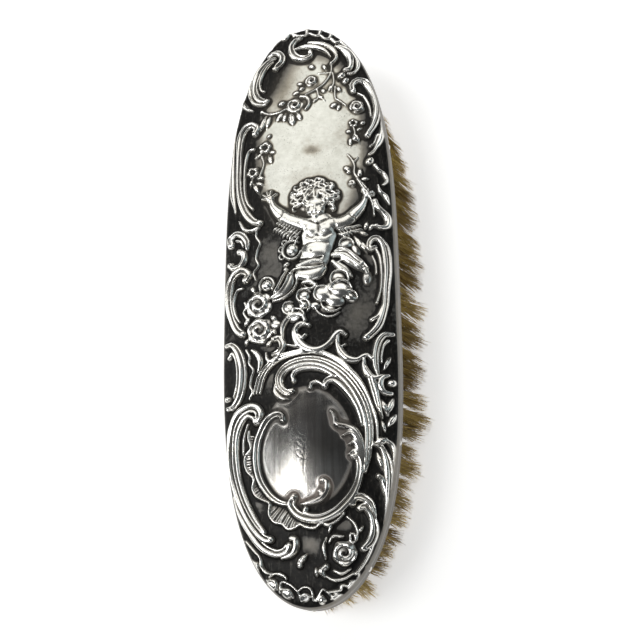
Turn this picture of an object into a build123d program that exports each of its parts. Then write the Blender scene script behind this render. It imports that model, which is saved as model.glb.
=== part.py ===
"""A handle-less vanity brush with a stamped silver back.

Frame: +Z is up, +Y runs along the brush and +X across it. The origin lies on the plane of the bristle
tips, under the middle of the brush, so the brush stands on its bristles with the silver back on top.
Units are millimetres. The construction is a drawn brush: bristle knots sit in drilled holes of a wooden
stock, one wire per row holds them from behind, a thin board screwed to the stock covers the wires, and
a silver shell, bedded on cement and pinned through its rim, covers the lot.
"""

import math
import os

from build123d import *

# Driving dimensions
LENGTH = 178.0  # silver back, end to end
WIDTH = 51.5  # silver back, side to side
END_POWER = 3.5  # outline: |2x/W|^2 + |2y/L|^END_POWER = 1
BRISTLE_LENGTH = 21.0  # tips to the face of the stock
STOCK_SHOW = 3.0  # wood seen below the silver rim
STOCK_THICK = 7.5
STOCK_EASE = 0.9
BOARD_THICK = 2.5
APEX_Z = 36.0  # top of the plain domed back, relief not counted
CROSS_RADIUS = 100.0  # crown across the brush
ALONG_RADIUS = 1300.0  # crown along the brush
SHOULDER = 4.2  # radius between the rim and the domed back
SHEET = 0.5  # silver thickness
GAP = 0.1  # between the wood and the silver

ROW_PITCH = 5.2  # between the straight rows
TUFT_PITCH = 4.8  # along a row
BORDER_INSET = 4.6  # outermost row, in from the silver's edge
STRAIGHT_ROWS = 7
TUFT_ROOT_R = 1.1
TUFT_TIP_R = 2.15
TUFT_DEPTH = 5.0
HOLE_CLEAR = 0.12
SPLAY = 7.6  # how far the border row's tips stand out sideways from their roots
END_SPLAY = 1.5  # and how far they stand out lengthways at the two ends
WIRE_R = 0.3
WIRE_LOOP = 1.0  # between the two legs that go down to a knot
WIRE_BEND = 0.4
WIRE_HOLE_R = 0.85
KERF = 0.7  # width of the saw cut that a row's wire lies in

PIN_COUNT = 10
PIN_R = 0.45
PIN_HEAD_R = 0.8
PIN_HEAD = 0.35
PIN_LENGTH = 3.2
PIN_UP = 3.0  # above the rim's edge

SCREW_X = 2.5 * ROW_PITCH  # midway between two rows
SCREW_YS = (-48.0, 0.0, 48.0)
SCREW_R = 0.8
SCREW_HEAD_R = 1.6
SCREW_HEAD = 1.1
SCREW_BITE = 4.0  # into the stock
SCREW_SLOT = 0.4

# Levels worked out from them
STOCK_Z = BRISTLE_LENGTH
RIM_Z = STOCK_Z + STOCK_SHOW
STOCK_TOP = STOCK_Z + STOCK_THICK
BOARD_TOP = STOCK_TOP + BOARD_THICK
ROOT_TOP = STOCK_Z + TUFT_DEPTH
WIRE_Z = STOCK_TOP - WIRE_R - 0.02
LOOP_Z = ROOT_TOP + WIRE_R + 0.02


def half_width(y, inset=0.0):
    """Half the outline's width at y, with the outline drawn in by inset."""
    along = min(1.0, abs(y) / (LENGTH / 2 - inset))
    return (WIDTH / 2 - inset) * math.sqrt(1 - along**END_POWER)


def outline_point(turn, inset=0.0):
    """A point of the outline. turn runs once round it, from 0 to 1, starting on +X."""
    a = 2 * math.pi * turn
    c, s = math.cos(a), math.sin(a)
    y = math.copysign(abs(s) ** (2 / END_POWER), s) * (LENGTH / 2 - inset)
    return ((WIDTH / 2 - inset) * c, y)


def outline_face(inset=0.0):
    """The outline as a flat face on Z 0. The points are spaced evenly along each side, and closer at its ends."""
    per_side = 18
    ys = [(LENGTH / 2 - inset) * math.sin(math.pi / 2 * k / per_side) for k in range(-per_side, per_side)]
    right = [(half_width(y, inset), y) for y in ys]
    left = [(-x, -y) for x, y in right]
    with BuildSketch() as flat:
        with BuildLine():
            Spline(right + left, periodic=True)
        make_face()
    return flat.face()


def slab(low, high, inset=0.0):
    """The outline, drawn in by inset, between two levels."""
    return Pos(0, 0, low) * extrude(outline_face(inset), amount=high - low)


def dome(drop=0.0):
    """Everything under the crowned top surface, lowered by drop: an arc turned about a far axis along X."""
    reach = WIDTH
    radius = CROSS_RADIUS - drop
    top = APEX_Z - drop
    side = top - radius + math.sqrt(radius**2 - reach**2)
    arc = ThreePointArc((-reach, side), (0, top), (reach, side))
    closing = Polyline(arc @ 1, (reach, 0), (-reach, 0), arc @ 0)
    section = Plane.XZ * make_face([arc, closing])
    axis = Axis((0, 0, APEX_Z - ALONG_RADIUS), (1, 0, 0))
    swing = math.degrees(1.2 * LENGTH / ALONG_RADIUS)
    return revolve(section.rotate(axis, -swing / 2), axis, revolution_arc=swing)


def back_form(inset=0.0):
    """The silver's outer shape with its inside full, or the same shape drawn in by inset."""
    block = slab(RIM_Z, APEX_Z + 1, inset) & dome(inset)
    rim = block.edges().filter_by(lambda e: e.center().Z > RIM_Z + SHOULDER)
    return fillet(rim, SHOULDER - inset)


def loose_disc(x, y, z, radius):
    return Pos(x, y, z) * Circle(radius)


def knot(place, grow=0.0):
    """One bristle knot, or with grow the hole it sits in: an oblique cone that leans out towards its tip."""
    x, y = place
    dx, dy = lean(place)
    root = loose_disc(x, y, ROOT_TOP, TUFT_ROOT_R + grow)
    tip = loose_disc(x + dx, y + dy, 0, TUFT_TIP_R + grow)
    return loft([root, tip], ruled=True)


def lean(place):
    """How far a knot's tip stands from its root: nothing in the middle, SPLAY at the sides and END_SPLAY at the ends."""
    x, y = place
    across = x / (WIDTH / 2 - BORDER_INSET)
    along = y / (LENGTH / 2 - BORDER_INSET)
    return (SPLAY * across * abs(across), END_SPLAY * math.copysign(along**6, along))


def border_row():
    """Knots evenly spaced round a line that follows the outline, the same in all four quarters."""
    fine = 4000
    line = [outline_point(k / fine, BORDER_INSET) for k in range(fine + 1)]
    run = [0.0]
    for a, b in zip(line, line[1:]):
        run.append(run[-1] + math.dist(a, b))
    count = 4 * round(run[-1] / TUFT_PITCH / 4)
    places = []
    for k in range(count):
        at = next(i for i, r in enumerate(run) if r >= run[-1] * k / count)
        places.append(line[at])
    return places


def straight_row(index, border):
    """Knots along one straight row, staggered against the next row and clear of the border row."""
    x = (index - STRAIGHT_ROWS // 2) * ROW_PITCH
    shift = TUFT_PITCH / 2 if (index - STRAIGHT_ROWS // 2) % 2 else 0.0
    count = int(LENGTH / TUFT_PITCH / 2)
    ys = [k * TUFT_PITCH + shift for k in range(-count, count + 1)]
    room = 0.85 * TUFT_PITCH
    inside = [y for y in ys if abs(y) < LENGTH / 2 - BORDER_INSET]
    return [(x, y) for y in inside if abs(x) < half_width(y, BORDER_INSET)
            and min(math.dist((x, y), b) for b in border) > room]


def wire(places):
    """One row's wire: it runs along the back of the stock and loops down through each hole to the knot."""
    route = []
    for k, (x, y) in enumerate(places):
        ahead = places[min(k + 1, len(places) - 1)]
        behind = places[max(k - 1, 0)]
        step = math.dist(ahead, behind)
        dx, dy = ((a - b) / step * WIRE_LOOP / 2 for a, b in zip(ahead, behind))
        route += [(x - dx, y - dy, z) for z in (WIRE_Z, LOOP_Z)]
        route += [(x + dx, y + dy, z) for z in (LOOP_Z, WIRE_Z)]
    path = FilletPolyline(*route, radius=WIRE_BEND)
    return sweep(Plane(origin=path @ 0, z_dir=path % 0) * Circle(WIRE_R), path=path)


def wire_hole(place):
    x, y = place
    return Pos(x, y, ROOT_TOP) * extrude(Circle(WIRE_HOLE_R), amount=STOCK_TOP - ROOT_TOP)


def kerf(a, b):
    """The saw cut between two holes of a row."""
    heading = math.degrees(math.atan2(b[1] - a[1], b[0] - a[0]))
    middle = Location(((a[0] + b[0]) / 2, (a[1] + b[1]) / 2, STOCK_TOP), (0, 0, heading))
    return middle * Box(math.dist(a, b), KERF, 2 * KERF)


def pin_planes():
    """Where the rim pins go in, each plane's Z pointing out of the rim."""
    planes = []
    for k in range(PIN_COUNT):
        turn = (k + 0.5) / PIN_COUNT
        x, y = outline_point(turn)
        ahead, behind = outline_point(turn + 1e-4), outline_point(turn - 1e-4)
        along = (ahead[0] - behind[0], ahead[1] - behind[1])
        outward = Vector(along[1], -along[0], 0).normalized()
        planes.append(Plane(origin=(x, y, RIM_Z + PIN_UP), z_dir=outward, x_dir=(0, 0, 1)))
    return planes


def pin(plane):
    """A small domed silver pin, seated on the rim."""
    shaft = extrude(plane * Circle(PIN_R), amount=-PIN_LENGTH)
    ball_r = (PIN_HEAD_R**2 + PIN_HEAD**2) / (2 * PIN_HEAD)
    ball = plane * Pos(0, 0, PIN_HEAD - ball_r) * Sphere(ball_r)
    return shaft.fuse(ball & extrude(plane * Circle(PIN_HEAD_R), amount=PIN_HEAD))


def pin_hole(plane):
    deep = Plane(origin=plane.origin + plane.z_dir * PIN_HEAD, z_dir=plane.z_dir, x_dir=plane.x_dir)
    return extrude(deep * Circle(PIN_R), amount=-(PIN_LENGTH + PIN_HEAD))


def screw_places():
    return [(side * SCREW_X, y) for y in SCREW_YS for side in (-1, 1)]


def screw_body(place):
    """A countersunk screw's outer shape, head up and flush with the board."""
    x, y = place
    shaft_low = STOCK_TOP - SCREW_BITE
    shaft = Pos(x, y, shaft_low) * extrude(Circle(SCREW_R), amount=BOARD_TOP - shaft_low)
    head = loft([loose_disc(x, y, BOARD_TOP - SCREW_HEAD, SCREW_R), loose_disc(x, y, BOARD_TOP, SCREW_HEAD_R)],
                ruled=True)
    return shaft.fuse(head)


def screw(place):
    x, y = place
    slot = Pos(x, y, BOARD_TOP) * Box(2 * SCREW_HEAD_R, SCREW_SLOT, SCREW_SLOT)
    return screw_body(place).cut(slot)


def silver_back():
    """The silver shell: outer form less the same form drawn in, with the pin holes."""
    return back_form().cut(back_form(SHEET), *[pin_hole(p) for p in pin_planes()])


def stock(rows):
    """The wooden stock: its show edge eased, drilled for everything that enters it, sawn for the wires."""
    block = slab(STOCK_Z, STOCK_TOP, SHEET + GAP)
    eased = chamfer(block.edges().group_by(Axis.Z)[0], STOCK_EASE)
    places = [p for row in rows for p in row]
    holes = [knot(p, HOLE_CLEAR) for p in places] + [wire_hole(p) for p in places]
    border, *straight = rows
    kerfs = [kerf(a, b) for a, b in zip(border, border[1:])] + [kerf(row[0], row[-1]) for row in straight]
    fixings = [pin_hole(p) for p in pin_planes()] + [screw_body(p) for p in screw_places()]
    return eased.cut(*holes, *kerfs, *fixings)


def board():
    """The thin board that covers the wires."""
    plain = slab(STOCK_TOP, BOARD_TOP, SHOULDER - 1)
    return plain.cut(*[screw_body(p) for p in screw_places()])


def cement():
    """The bed between the board and the silver."""
    bed = back_form(SHEET + 0.02) & slab(STOCK_TOP, APEX_Z, 0)
    return bed.cut(slab(STOCK_TOP, BOARD_TOP, SHOULDER - 1))


def export(node, *shapes):
    """Writes the solids of one node."""
    solids = [solid for shape in shapes for solid in shape.solids()]
    export_step(Compound(solids), f"parts/{node}.step")


def main():
    os.makedirs("parts", exist_ok=True)
    border = border_row()
    rows = [border] + [straight_row(k, border) for k in range(STRAIGHT_ROWS)]
    export("silver_back", silver_back())
    export("rim_pins", *[pin(p) for p in pin_planes()])
    export("cement_bed", cement())
    export("cover_board", board())
    export("board_screws", *[screw(p) for p in screw_places()])
    export("bristle_stock", stock(rows))
    for index, row in enumerate(rows):
        name = "border" if index == 0 else str(index)
        export(f"bristle_row_{name}", *[knot(p) for p in row])
        export(f"draw_wire_{name}", wire(row))
    print("knots", sum(len(row) for row in rows))


main()
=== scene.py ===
"""The silver-backed vanity brush: its looks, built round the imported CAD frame.

Lengths in the drawing of the relief are millimetres of the row frame (X across, Y along, Z up), turned
into metres when the meshes are made.
"""

import math

import bpy
import numpy as np
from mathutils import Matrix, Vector


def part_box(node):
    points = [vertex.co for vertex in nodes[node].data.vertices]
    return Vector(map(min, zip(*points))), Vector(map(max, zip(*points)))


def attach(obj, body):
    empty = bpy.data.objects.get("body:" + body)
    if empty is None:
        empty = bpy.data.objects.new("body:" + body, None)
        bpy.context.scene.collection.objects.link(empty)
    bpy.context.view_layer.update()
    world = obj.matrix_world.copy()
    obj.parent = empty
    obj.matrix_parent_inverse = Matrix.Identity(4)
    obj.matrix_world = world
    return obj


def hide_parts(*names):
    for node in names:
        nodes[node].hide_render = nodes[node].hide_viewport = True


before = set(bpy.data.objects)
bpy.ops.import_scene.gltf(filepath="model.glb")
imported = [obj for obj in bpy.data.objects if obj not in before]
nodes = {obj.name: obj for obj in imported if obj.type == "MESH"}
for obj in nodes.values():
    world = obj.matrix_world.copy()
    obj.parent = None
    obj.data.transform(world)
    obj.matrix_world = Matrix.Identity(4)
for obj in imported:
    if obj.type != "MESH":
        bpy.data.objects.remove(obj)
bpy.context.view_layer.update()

MM = 0.001

# ---------------------------------------------------------------- the brush's main sizes, from the frame
silver_low, silver_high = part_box("silver_back")
HALF_LENGTH = silver_high.y / MM
HALF_WIDTH = silver_high.x / MM
RIM_Z = silver_low.z / MM
CROWN_Z = silver_high.z / MM
STOCK_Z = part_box("bristle_stock")[0].z / MM
END_POWER = 3.5  # the outline's power lengthways, and then the CAD's own radii and thickness
CROSS_RADIUS = 100.0
ALONG_RADIUS = 1300.0
SHOULDER = 4.2
SHEET = 0.5
RELIEF_SINK = 1.45  # the plain ground lies this far under the CAD dome, so the relief stays near it
RELIEF_GAIN = 1.4


def outline(turn, inset=0.0):
    """Points of the superellipse outline, turn running once round it from 0 to 1, starting on +X."""
    a = 2 * np.pi * np.asarray(turn, float)
    c, s = np.cos(a), np.sin(a)
    y = np.sign(s) * np.abs(s) ** (2 / END_POWER) * (HALF_LENGTH - inset)
    return (HALF_WIDTH - inset) * c, y


def half_width(y):
    along = np.clip(np.abs(y) / HALF_LENGTH, 0, 1)
    return HALF_WIDTH * np.sqrt(np.maximum(0, 1 - along**END_POWER))


def edge_distance(x, y):
    """How far inside the outline points lie. Each one's foot is walked along it to the nearest place."""
    px, py = x.copy(), y.copy()
    for _ in range(12):
        gx = 2 * px / HALF_WIDTH**2
        gy = END_POWER * np.sign(py) * (np.abs(py) / HALF_LENGTH) ** (END_POWER - 1) / HALF_LENGTH
        f = (px / HALF_WIDTH) ** 2 + (np.abs(py) / HALF_LENGTH) ** END_POWER - 1
        n = gx * gx + gy * gy + 1e-12
        px, py = px - f * gx / n, py - f * gy / n
        root = np.sqrt(n)
        slide = 0.6 * ((x - px) * -gy + (y - py) * gx) / root
        px, py = px + slide * -gy / root, py + slide * gx / root
    return np.hypot(px - x, py - y)


# ---------------------------------------------------------------- the relief, drawn on a flat raster
CELLS = 8  # raster cells per millimetre
X0, Y0 = -27.0, -90.0
NX, NY = int(54 * CELLS), int(180 * CELLS)
GX = X0 + (np.arange(NX) + 0.5) / CELLS
GY = Y0 + (np.arange(NY) + 0.5) / CELLS
EVERYWHERE = (slice(None), slice(None))
NOTHING = -9.0  # in a form's own heights, a cell that the form leaves alone
MARGIN = 0.1  # how far past a form's edge its cells are worked out
height = np.zeros((NY, NX))


def window(x_low, x_high, y_low, y_high):
    """Slices of the raster that cover a box, and the coordinates of the cells in it."""
    i0, i1 = np.clip([int((x_low - X0) * CELLS), int((x_high - X0) * CELLS) + 2], 0, NX)
    j0, j1 = np.clip([int((y_low - Y0) * CELLS), int((y_high - Y0) * CELLS) + 2], 0, NY)
    xs, ys = np.meshgrid(GX[i0:i1], GY[j0:j1])
    return (slice(j0, j1), slice(i0, i1)), xs, ys


def spline(points, step=0.18):
    """A smooth curve through the points, sampled evenly."""
    p = np.array(points, float)
    if len(p) == 2:
        n = max(2, int(np.hypot(*(p[1] - p[0])) / step))
        t = np.linspace(0, 1, n)[:, None]
        return p[0] * (1 - t) + p[1] * t
    ends = np.vstack([2 * p[0] - p[1], p, 2 * p[-1] - p[-2]])
    out = []
    t = np.linspace(0, 1, 24, endpoint=False)[:, None]
    for a, b, c, d in zip(ends, ends[1:], ends[2:], ends[3:]):
        out.append(0.5 * (2 * b + (c - a) * t + (2 * a - 5 * b + 4 * c - d) * t**2
                          + (3 * b - a - 3 * c + d) * t**3))
    fine = np.vstack(out + [p[-1:]])
    run = np.concatenate([[0], np.cumsum(np.hypot(*np.diff(fine, axis=0).T))])
    even = np.linspace(0, run[-1], max(3, int(run[-1] / step)))
    return np.column_stack([np.interp(even, run, fine[:, k]) for k in (0, 1)])


def near_curve(curve, reach):
    """The cells near a curve, and for each its signed distance across, share of the length, and distance."""
    spot, xs, ys = window(curve[:, 0].min() - reach, curve[:, 0].max() + reach,
                          curve[:, 1].min() - reach, curve[:, 1].max() + reach)
    best = np.full(xs.shape, 1e9)
    across = np.zeros(xs.shape)
    share = np.zeros(xs.shape)
    heading = np.gradient(curve, axis=0)
    heading /= np.hypot(*heading.T)[:, None] + 1e-9
    last = len(curve) - 1
    for k, ((cx, cy), (tx, ty)) in enumerate(zip(curve, heading)):
        r = reach + 0.3
        i0 = max(0, int((cx - r - xs[0, 0]) * CELLS))
        i1 = int((cx + r - xs[0, 0]) * CELLS) + 2
        j0 = max(0, int((cy - r - ys[0, 0]) * CELLS))
        j1 = int((cy + r - ys[0, 0]) * CELLS) + 2
        dx = xs[j0:j1, i0:i1] - cx
        dy = ys[j0:j1, i0:i1] - cy
        d = np.hypot(dx, dy)
        closer = d < best[j0:j1, i0:i1]
        best[j0:j1, i0:i1][closer] = d[closer]
        side = np.sign(tx * dy - ty * dx)
        across[j0:j1, i0:i1][closer] = (d * side)[closer]
        share[j0:j1, i0:i1][closer] = k / last
    return spot, across, share, best


def put(spot, h, soften):
    """Adds a form to the relief: where two meet the higher one shows, with a fillet of about soften."""
    low = height[spot]
    gap = np.clip(0.5 + 0.5 * (h - low) / soften, 0, 1)
    mixed = low * (1 - gap) + h * gap + soften * gap * (1 - gap)
    height[spot] = np.where(h > NOTHING, mixed, low)


def along(values, share):
    """Values given at even shares of a curve's length, smoothly read between."""
    values = np.atleast_1d(values).astype(float)
    if len(values) == 1:
        return np.full(share.shape, values[0])
    return np.interp(share, np.linspace(0, 1, len(values)), values)


RIDGE_FULLNESS = 1.08  # every moulding is this much wider than its width says
SCROLL_FULLNESS = 1.42  # and every scroll
RIDGES = {  # the ridges side by side on a scroll: middle and half width across it, and height
    1: ((0.0, 1.0, 1.0),),
    2: ((-0.34, 0.64, 1.0), (0.66, 0.34, 0.82)),
    3: ((-0.52, 0.46, 1.0), (0.18, 0.26, 0.85), (0.72, 0.27, 0.75)),
}


def ridge(points, width, h, soften=0.10):
    """A plain rounded moulding along a curve. width is its half width, h its height, each at even shares."""
    width = RIDGE_FULLNESS * np.atleast_1d(width)
    spot, _, share, d = near_curve(spline(points), float(np.max(width)) + MARGIN)
    t = d / along(width, share)
    form = np.sqrt(np.maximum(0, 1 - t * t))
    put(spot, np.where(t < 1, form * along(h, share), NOTHING), soften)


def scroll(points, width, h=1.0, lines=2, tail=None, head=None):
    """A stamped acanthus scroll: a rounded band with grooves along it, and balls at its curled ends."""
    curve = spline(points)
    width = SCROLL_FULLNESS * np.atleast_1d(width)
    spot, across, share, d = near_curve(curve, float(np.max(width)) + MARGIN)
    w = along(width, share)
    t = np.clip(across / w, -1, 1)
    dome = np.sqrt(np.maximum(0, 1 - (d / w) ** 2))
    form = 0.5 * dome
    for middle, half, tall in RIDGES[lines]:
        bead = np.sqrt(np.maximum(0, 1 - ((t - middle) / half) ** 2))
        form = np.maximum(form, tall * bead * np.minimum(1, 1.6 * dome))
    put(spot, np.where(d < w, form * along(h, share), NOTHING), 0.10)
    for end, radius in ((curve[0], tail), (curve[-1], head)):
        if radius:
            ball(end[0], end[1], 1.1 * radius, 1.04 * h)


def ball(x, y, r, h, ry=None, turn=0.0, soften=0.14):
    """A rounded boss, or an oval one, its first radius turned by turn degrees."""
    ry = ry or r
    reach = max(r, ry) + MARGIN
    spot, xs, ys = window(x - reach, x + reach, y - reach, y + reach)
    c, s = math.cos(math.radians(turn)), math.sin(math.radians(turn))
    u = ((xs - x) * c + (ys - y) * s) / r
    v = (-(xs - x) * s + (ys - y) * c) / ry
    q = u * u + v * v
    put(spot, np.where(q < 1, h * np.sqrt(np.maximum(0, 1 - q)), NOTHING), soften)


def cut(points, width, depth):
    """A groove along a curve, sunk into what is there."""
    spot, _, share, d = near_curve(spline(points), 2 * float(np.max(width)) + MARGIN)
    height[spot] -= along(depth, share) * np.exp(-((d / along(width, share)) ** 2) * 1.6)


def leaf(x, y, tip_x, tip_y, w, h=0.75):
    """A pointed leaf from its stalk to its tip, with a vein sunk along it."""
    spine = [(x, y), ((x + tip_x) / 2, (y + tip_y) / 2), (tip_x, tip_y)]
    ridge(spine, (0.3 * w, w, 0.85 * w, 0.12), (0.7 * h, h, h, 0.5 * h))
    cut(spine, (0.16, 0.16, 0.1), (0.3 * h, 0.45 * h, 0.15 * h))


hearts = []  # the middles of the roses and flowers, which have gone dark: x, y and radius


def rose(x, y, r, h=1.0, turn=0.0, petals=5):
    """An open rose: a small heart in a swirl of petals that overlap."""
    reach = r * 1.15
    spot, xs, ys = window(x - reach, x + reach, y - reach, y + reach)
    dx, dy = xs - x, ys - y
    d = np.hypot(dx, dy) / r
    a = np.arctan2(dy, dx) + math.radians(turn)
    lobe = 1 - 0.10 * (0.5 - 0.5 * np.cos(petals * a))
    body = np.sqrt(np.maximum(0, 1 - (d / lobe) ** 2)) ** 0.6
    swirl = np.cos(2 * np.pi * (d * 2.1 - a / (2 * np.pi)))
    seam = np.abs(np.sin(petals * a / 2 + 2.2 * d)) ** 0.35
    heart = np.exp(-((d / 0.17) ** 2))
    form = body * (0.72 + 0.20 * swirl) * (0.72 + 0.28 * np.where(d > 0.45, seam, 1)) + 0.12 * heart
    put(spot, np.where(d < lobe, h * form, NOTHING), 0.08)
    hearts.append((x, y, 0.19 * r))


def flower(x, y, r, h, turn):
    """A small flower: five round petals about a domed heart with a groove round it."""
    for k in range(5):
        a = math.radians(turn) + 2 * math.pi * k / 5
        ball(x + 0.58 * r * math.cos(a), y + 0.58 * r * math.sin(a), 0.48 * r, 0.8 * h)
    spot, xs, ys = window(x - r, x + r, y - r, y + r)
    d = np.hypot(xs - x, ys - y) / r
    height[spot] -= 0.5 * h * np.exp(-(((d - 0.36) / 0.09) ** 2))
    ball(x, y, 0.28 * r, 0.85 * h)
    hearts.append((x, y, 0.30 * r))


# ---- the ground, lowest by the border, and the two plain fields that swell a little above it
xs_all, ys_all = np.meshgrid(GX, GY)


def field(cx, cy, rx, ry, h):
    """A plain oval field, h high in its middle."""
    q2 = ((xs_all - cx) / rx) ** 2 + ((ys_all - cy) / ry) ** 2
    height[:] = np.maximum(height, h * np.maximum(0, 1 - q2) ** 0.6)


field(1.5, 46.0, 16.5, 32.0, 0.34)
field(-0.4, -46.5, 14.8, 18.4, 0.30)


# ---- top end
ridge([(-14.6, 80.4), (-12.6, 82), (-11.4, 83.9), (-9.8, 84), (-8.4, 85.6), (-6.6, 85.4), (-5, 87),
    (-3.4, 86.4), (-2, 85.7), (0, 85.4), (1.4, 86.2), (3.2, 84.9), (5, 84.9), (6.4, 83.4), (8.2, 83.4),
    (9.6, 81.9), (11.4, 81.6), (12.6, 80), (14.4, 79.4)], 0.45, 0.75)
for x, y, tip_x, tip_y in (
        (-13.4, 81.2, -14.9, 82.4), (-10.6, 83.6, -11.6, 85), (-7.4, 85.2, -8.2, 86.8),
        (-4, 86.2, -4.4, 88), (0.4, 85.6, 0.4, 88.2), (4.2, 84.8, 4.9, 87.2), (7.4, 83.3, 8.6, 85.8),
        (10.6, 81.6, 12.2, 83.8), (13.4, 79.6, 15, 81.2)):
    ridge([(x, y), (tip_x, tip_y)], (0.5, 0.75), (0.5, 0.75))
scroll([(-1.2, 84.3), (-3.3, 83.5), (-4.5, 81.4), (-4.1, 78.8), (-2.4, 76.9), (0, 76.4), (1.8, 77.3),
    (1.6, 78.7)], (0.3, 0.6, 0.8, 1, 1.1, 0.95, 0.7, 0.5), 1.05, 2, head=0.85)
scroll([(-3, 80.3), (-0.5, 80.9), (2.5, 80.5), (5.2, 79.3), (7, 77.8), (8, 76.3)],
    (0.3, 0.7, 0.8, 0.7, 0.5, 0.2), 0.95, 1)
scroll([(1, 82.1), (4, 81.6), (7, 80.3), (9.2, 78.2), (9.9, 76), (9.2, 74.4), (8.3, 73.6)],
    (0.3, 0.6, 0.7, 0.7, 0.6, 0.5, 0.4), 1, 1, head=0.6)
scroll([(9.6, 79.8), (12, 78.5), (13.8, 76), (14.4, 73.2), (13.8, 71.3), (12.6, 70.9)],
    (0.35, 0.7, 0.9, 0.9, 0.8, 0.6), 1, 1, head=0.8)
ridge([(10.6, 80.4), (14, 78.1), (15.9, 75), (16.4, 72), (15.4, 69.8), (13.4, 69.3)],
    (0.3, 0.5, 0.6, 0.6, 0.5, 0.4), 0.9)
ball(11.4, 68.8, 1.5, 1.1, 1.2, 40)
ball(12.7, 66.9, 1, 1, 1.4, -35)
cut([(10.4, 67), (11.9, 67.9), (13.6, 68.2)], 0.2, 0.45)
scroll([(-12.2, 79.3), (-10.5, 80.2), (-8.6, 79.8), (-7.5, 78.1), (-7.8, 76.2), (-9, 75)],
    (0.35, 0.7, 0.85, 0.85, 0.85, 0.8), 1, 2)
ball(-9.8, 74.1, 1.25, 1.1, 0.9, -25)
scroll([(-9.8, 78.2), (-12.5, 77), (-15, 74.4), (-16.3, 71), (-16.5, 67.5), (-15.5, 64.6), (-13.7, 62.9),
    (-12.2, 62.7)], (0.3, 0.7, 0.9, 1, 0.9, 0.85, 0.9, 0.7), 1.05, 2, head=0.9)
ridge([(-10.4, 77), (-12.6, 75), (-14.3, 72), (-14.8, 69), (-14.2, 67), (-13.2, 66.5)],
    (0.25, 0.5, 0.5, 0.5, 0.45, 0.4), 0.8)
ridge([(-17.6, 71.5), (-18.3, 68.5), (-18.1, 65.4), (-16.7, 62.9), (-14.2, 61.5), (-12.4, 61.5)],
    (0.3, 0.55, 0.6, 0.6, 0.5, 0.3), 0.85)
ridge([(-20.6, 66), (-20.3, 63.6), (-18.9, 61.4), (-17, 60.2)], (0.3, 0.7, 0.7, 0.3), 0.8)

# ---- rose garland over the upper field
ridge([(-14, 59.2), (-11.6, 57.9), (-8.6, 57.8), (-6, 58.7)], 0.35, 0.65)
ridge([(0.2, 63), (3, 64.3), (5.5, 66), (7.1, 68.1), (8.2, 70.5), (8.3, 73.4)], 0.32, 0.65)
ridge([(4.2, 70.4), (8, 70.3)], 0.28, 0.55)
ridge([(8.7, 70.2), (9, 67), (8.3, 63.4)], (0.3, 0.3, 0.2), 0.6)
ridge([(9.4, 65.2), (9.4, 61), (10.6, 59.9), (12.6, 58)], 0.3, 0.6)
ridge([(3.8, 64.5), (4.1, 61.6), (2.7, 59.9)], (0.3, 0.3, 0.2), 0.6)
ridge([(4.2, 62.2), (6.2, 60.2)], (0.3, 0.2), 0.6)
ridge([(12.9, 40.9), (14.2, 39), (14.9, 37), (14.8, 34.6), (16, 32.4), (17.8, 30), (19.6, 26.6)],
    (0.3, 0.35, 0.4), (0.6, 0.75))
ridge([(14.9, 38.4), (15.9, 39.8)], (0.3, 0.2), 0.6)
ridge([(-13.8, 43.4), (-13.1, 40.4), (-14.4, 36.4)], 0.35, 0.6)
ridge([(-14, 44.2), (-15.8, 43.3)], 0.3, 0.6)
ridge([(14.8, 50.2), (15.2, 48.2), (14.6, 46.6)], 0.3, 0.6)
rose(-3.3, 59.6, 2.9, 1.1)
ridge([(-1.4, 62.6), (0.8, 61.8), (1.3, 59.6), (0.3, 57.8)], 0.5, 0.75)
rose(2, 67.8, 2.3, 0.95, 40)
rose(16, 57.4, 2.5, 1, 100)
flower(14.8, 51.6, 1.5, 0.85, 20)
flower(-12.7, 46.2, 2.2, 0.95, 10)
flower(-16.6, 38.4, 2, 0.85, 50)
rose(14.1, 31.2, 1.35, 0.85, 10)
for x, y, r, h, ry, turn in (
        (-7.4, 60.9, 1.3, 0.85, 0.95, 15), (-14, 59.2, 0.7, 0.75, 0.7, 0), (-11.4, 50, 0.9, 0.75, 0.7, 30),
        (17.6, 51.6, 1, 0.75, 0.8, 30), (15.2, 46.2, 0.9, 0.8, 1.1, 20), (-1, 65.3, 1.1, 0.75, 0.7, 10)):
    ball(x, y, r, h, ry, turn)
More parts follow.
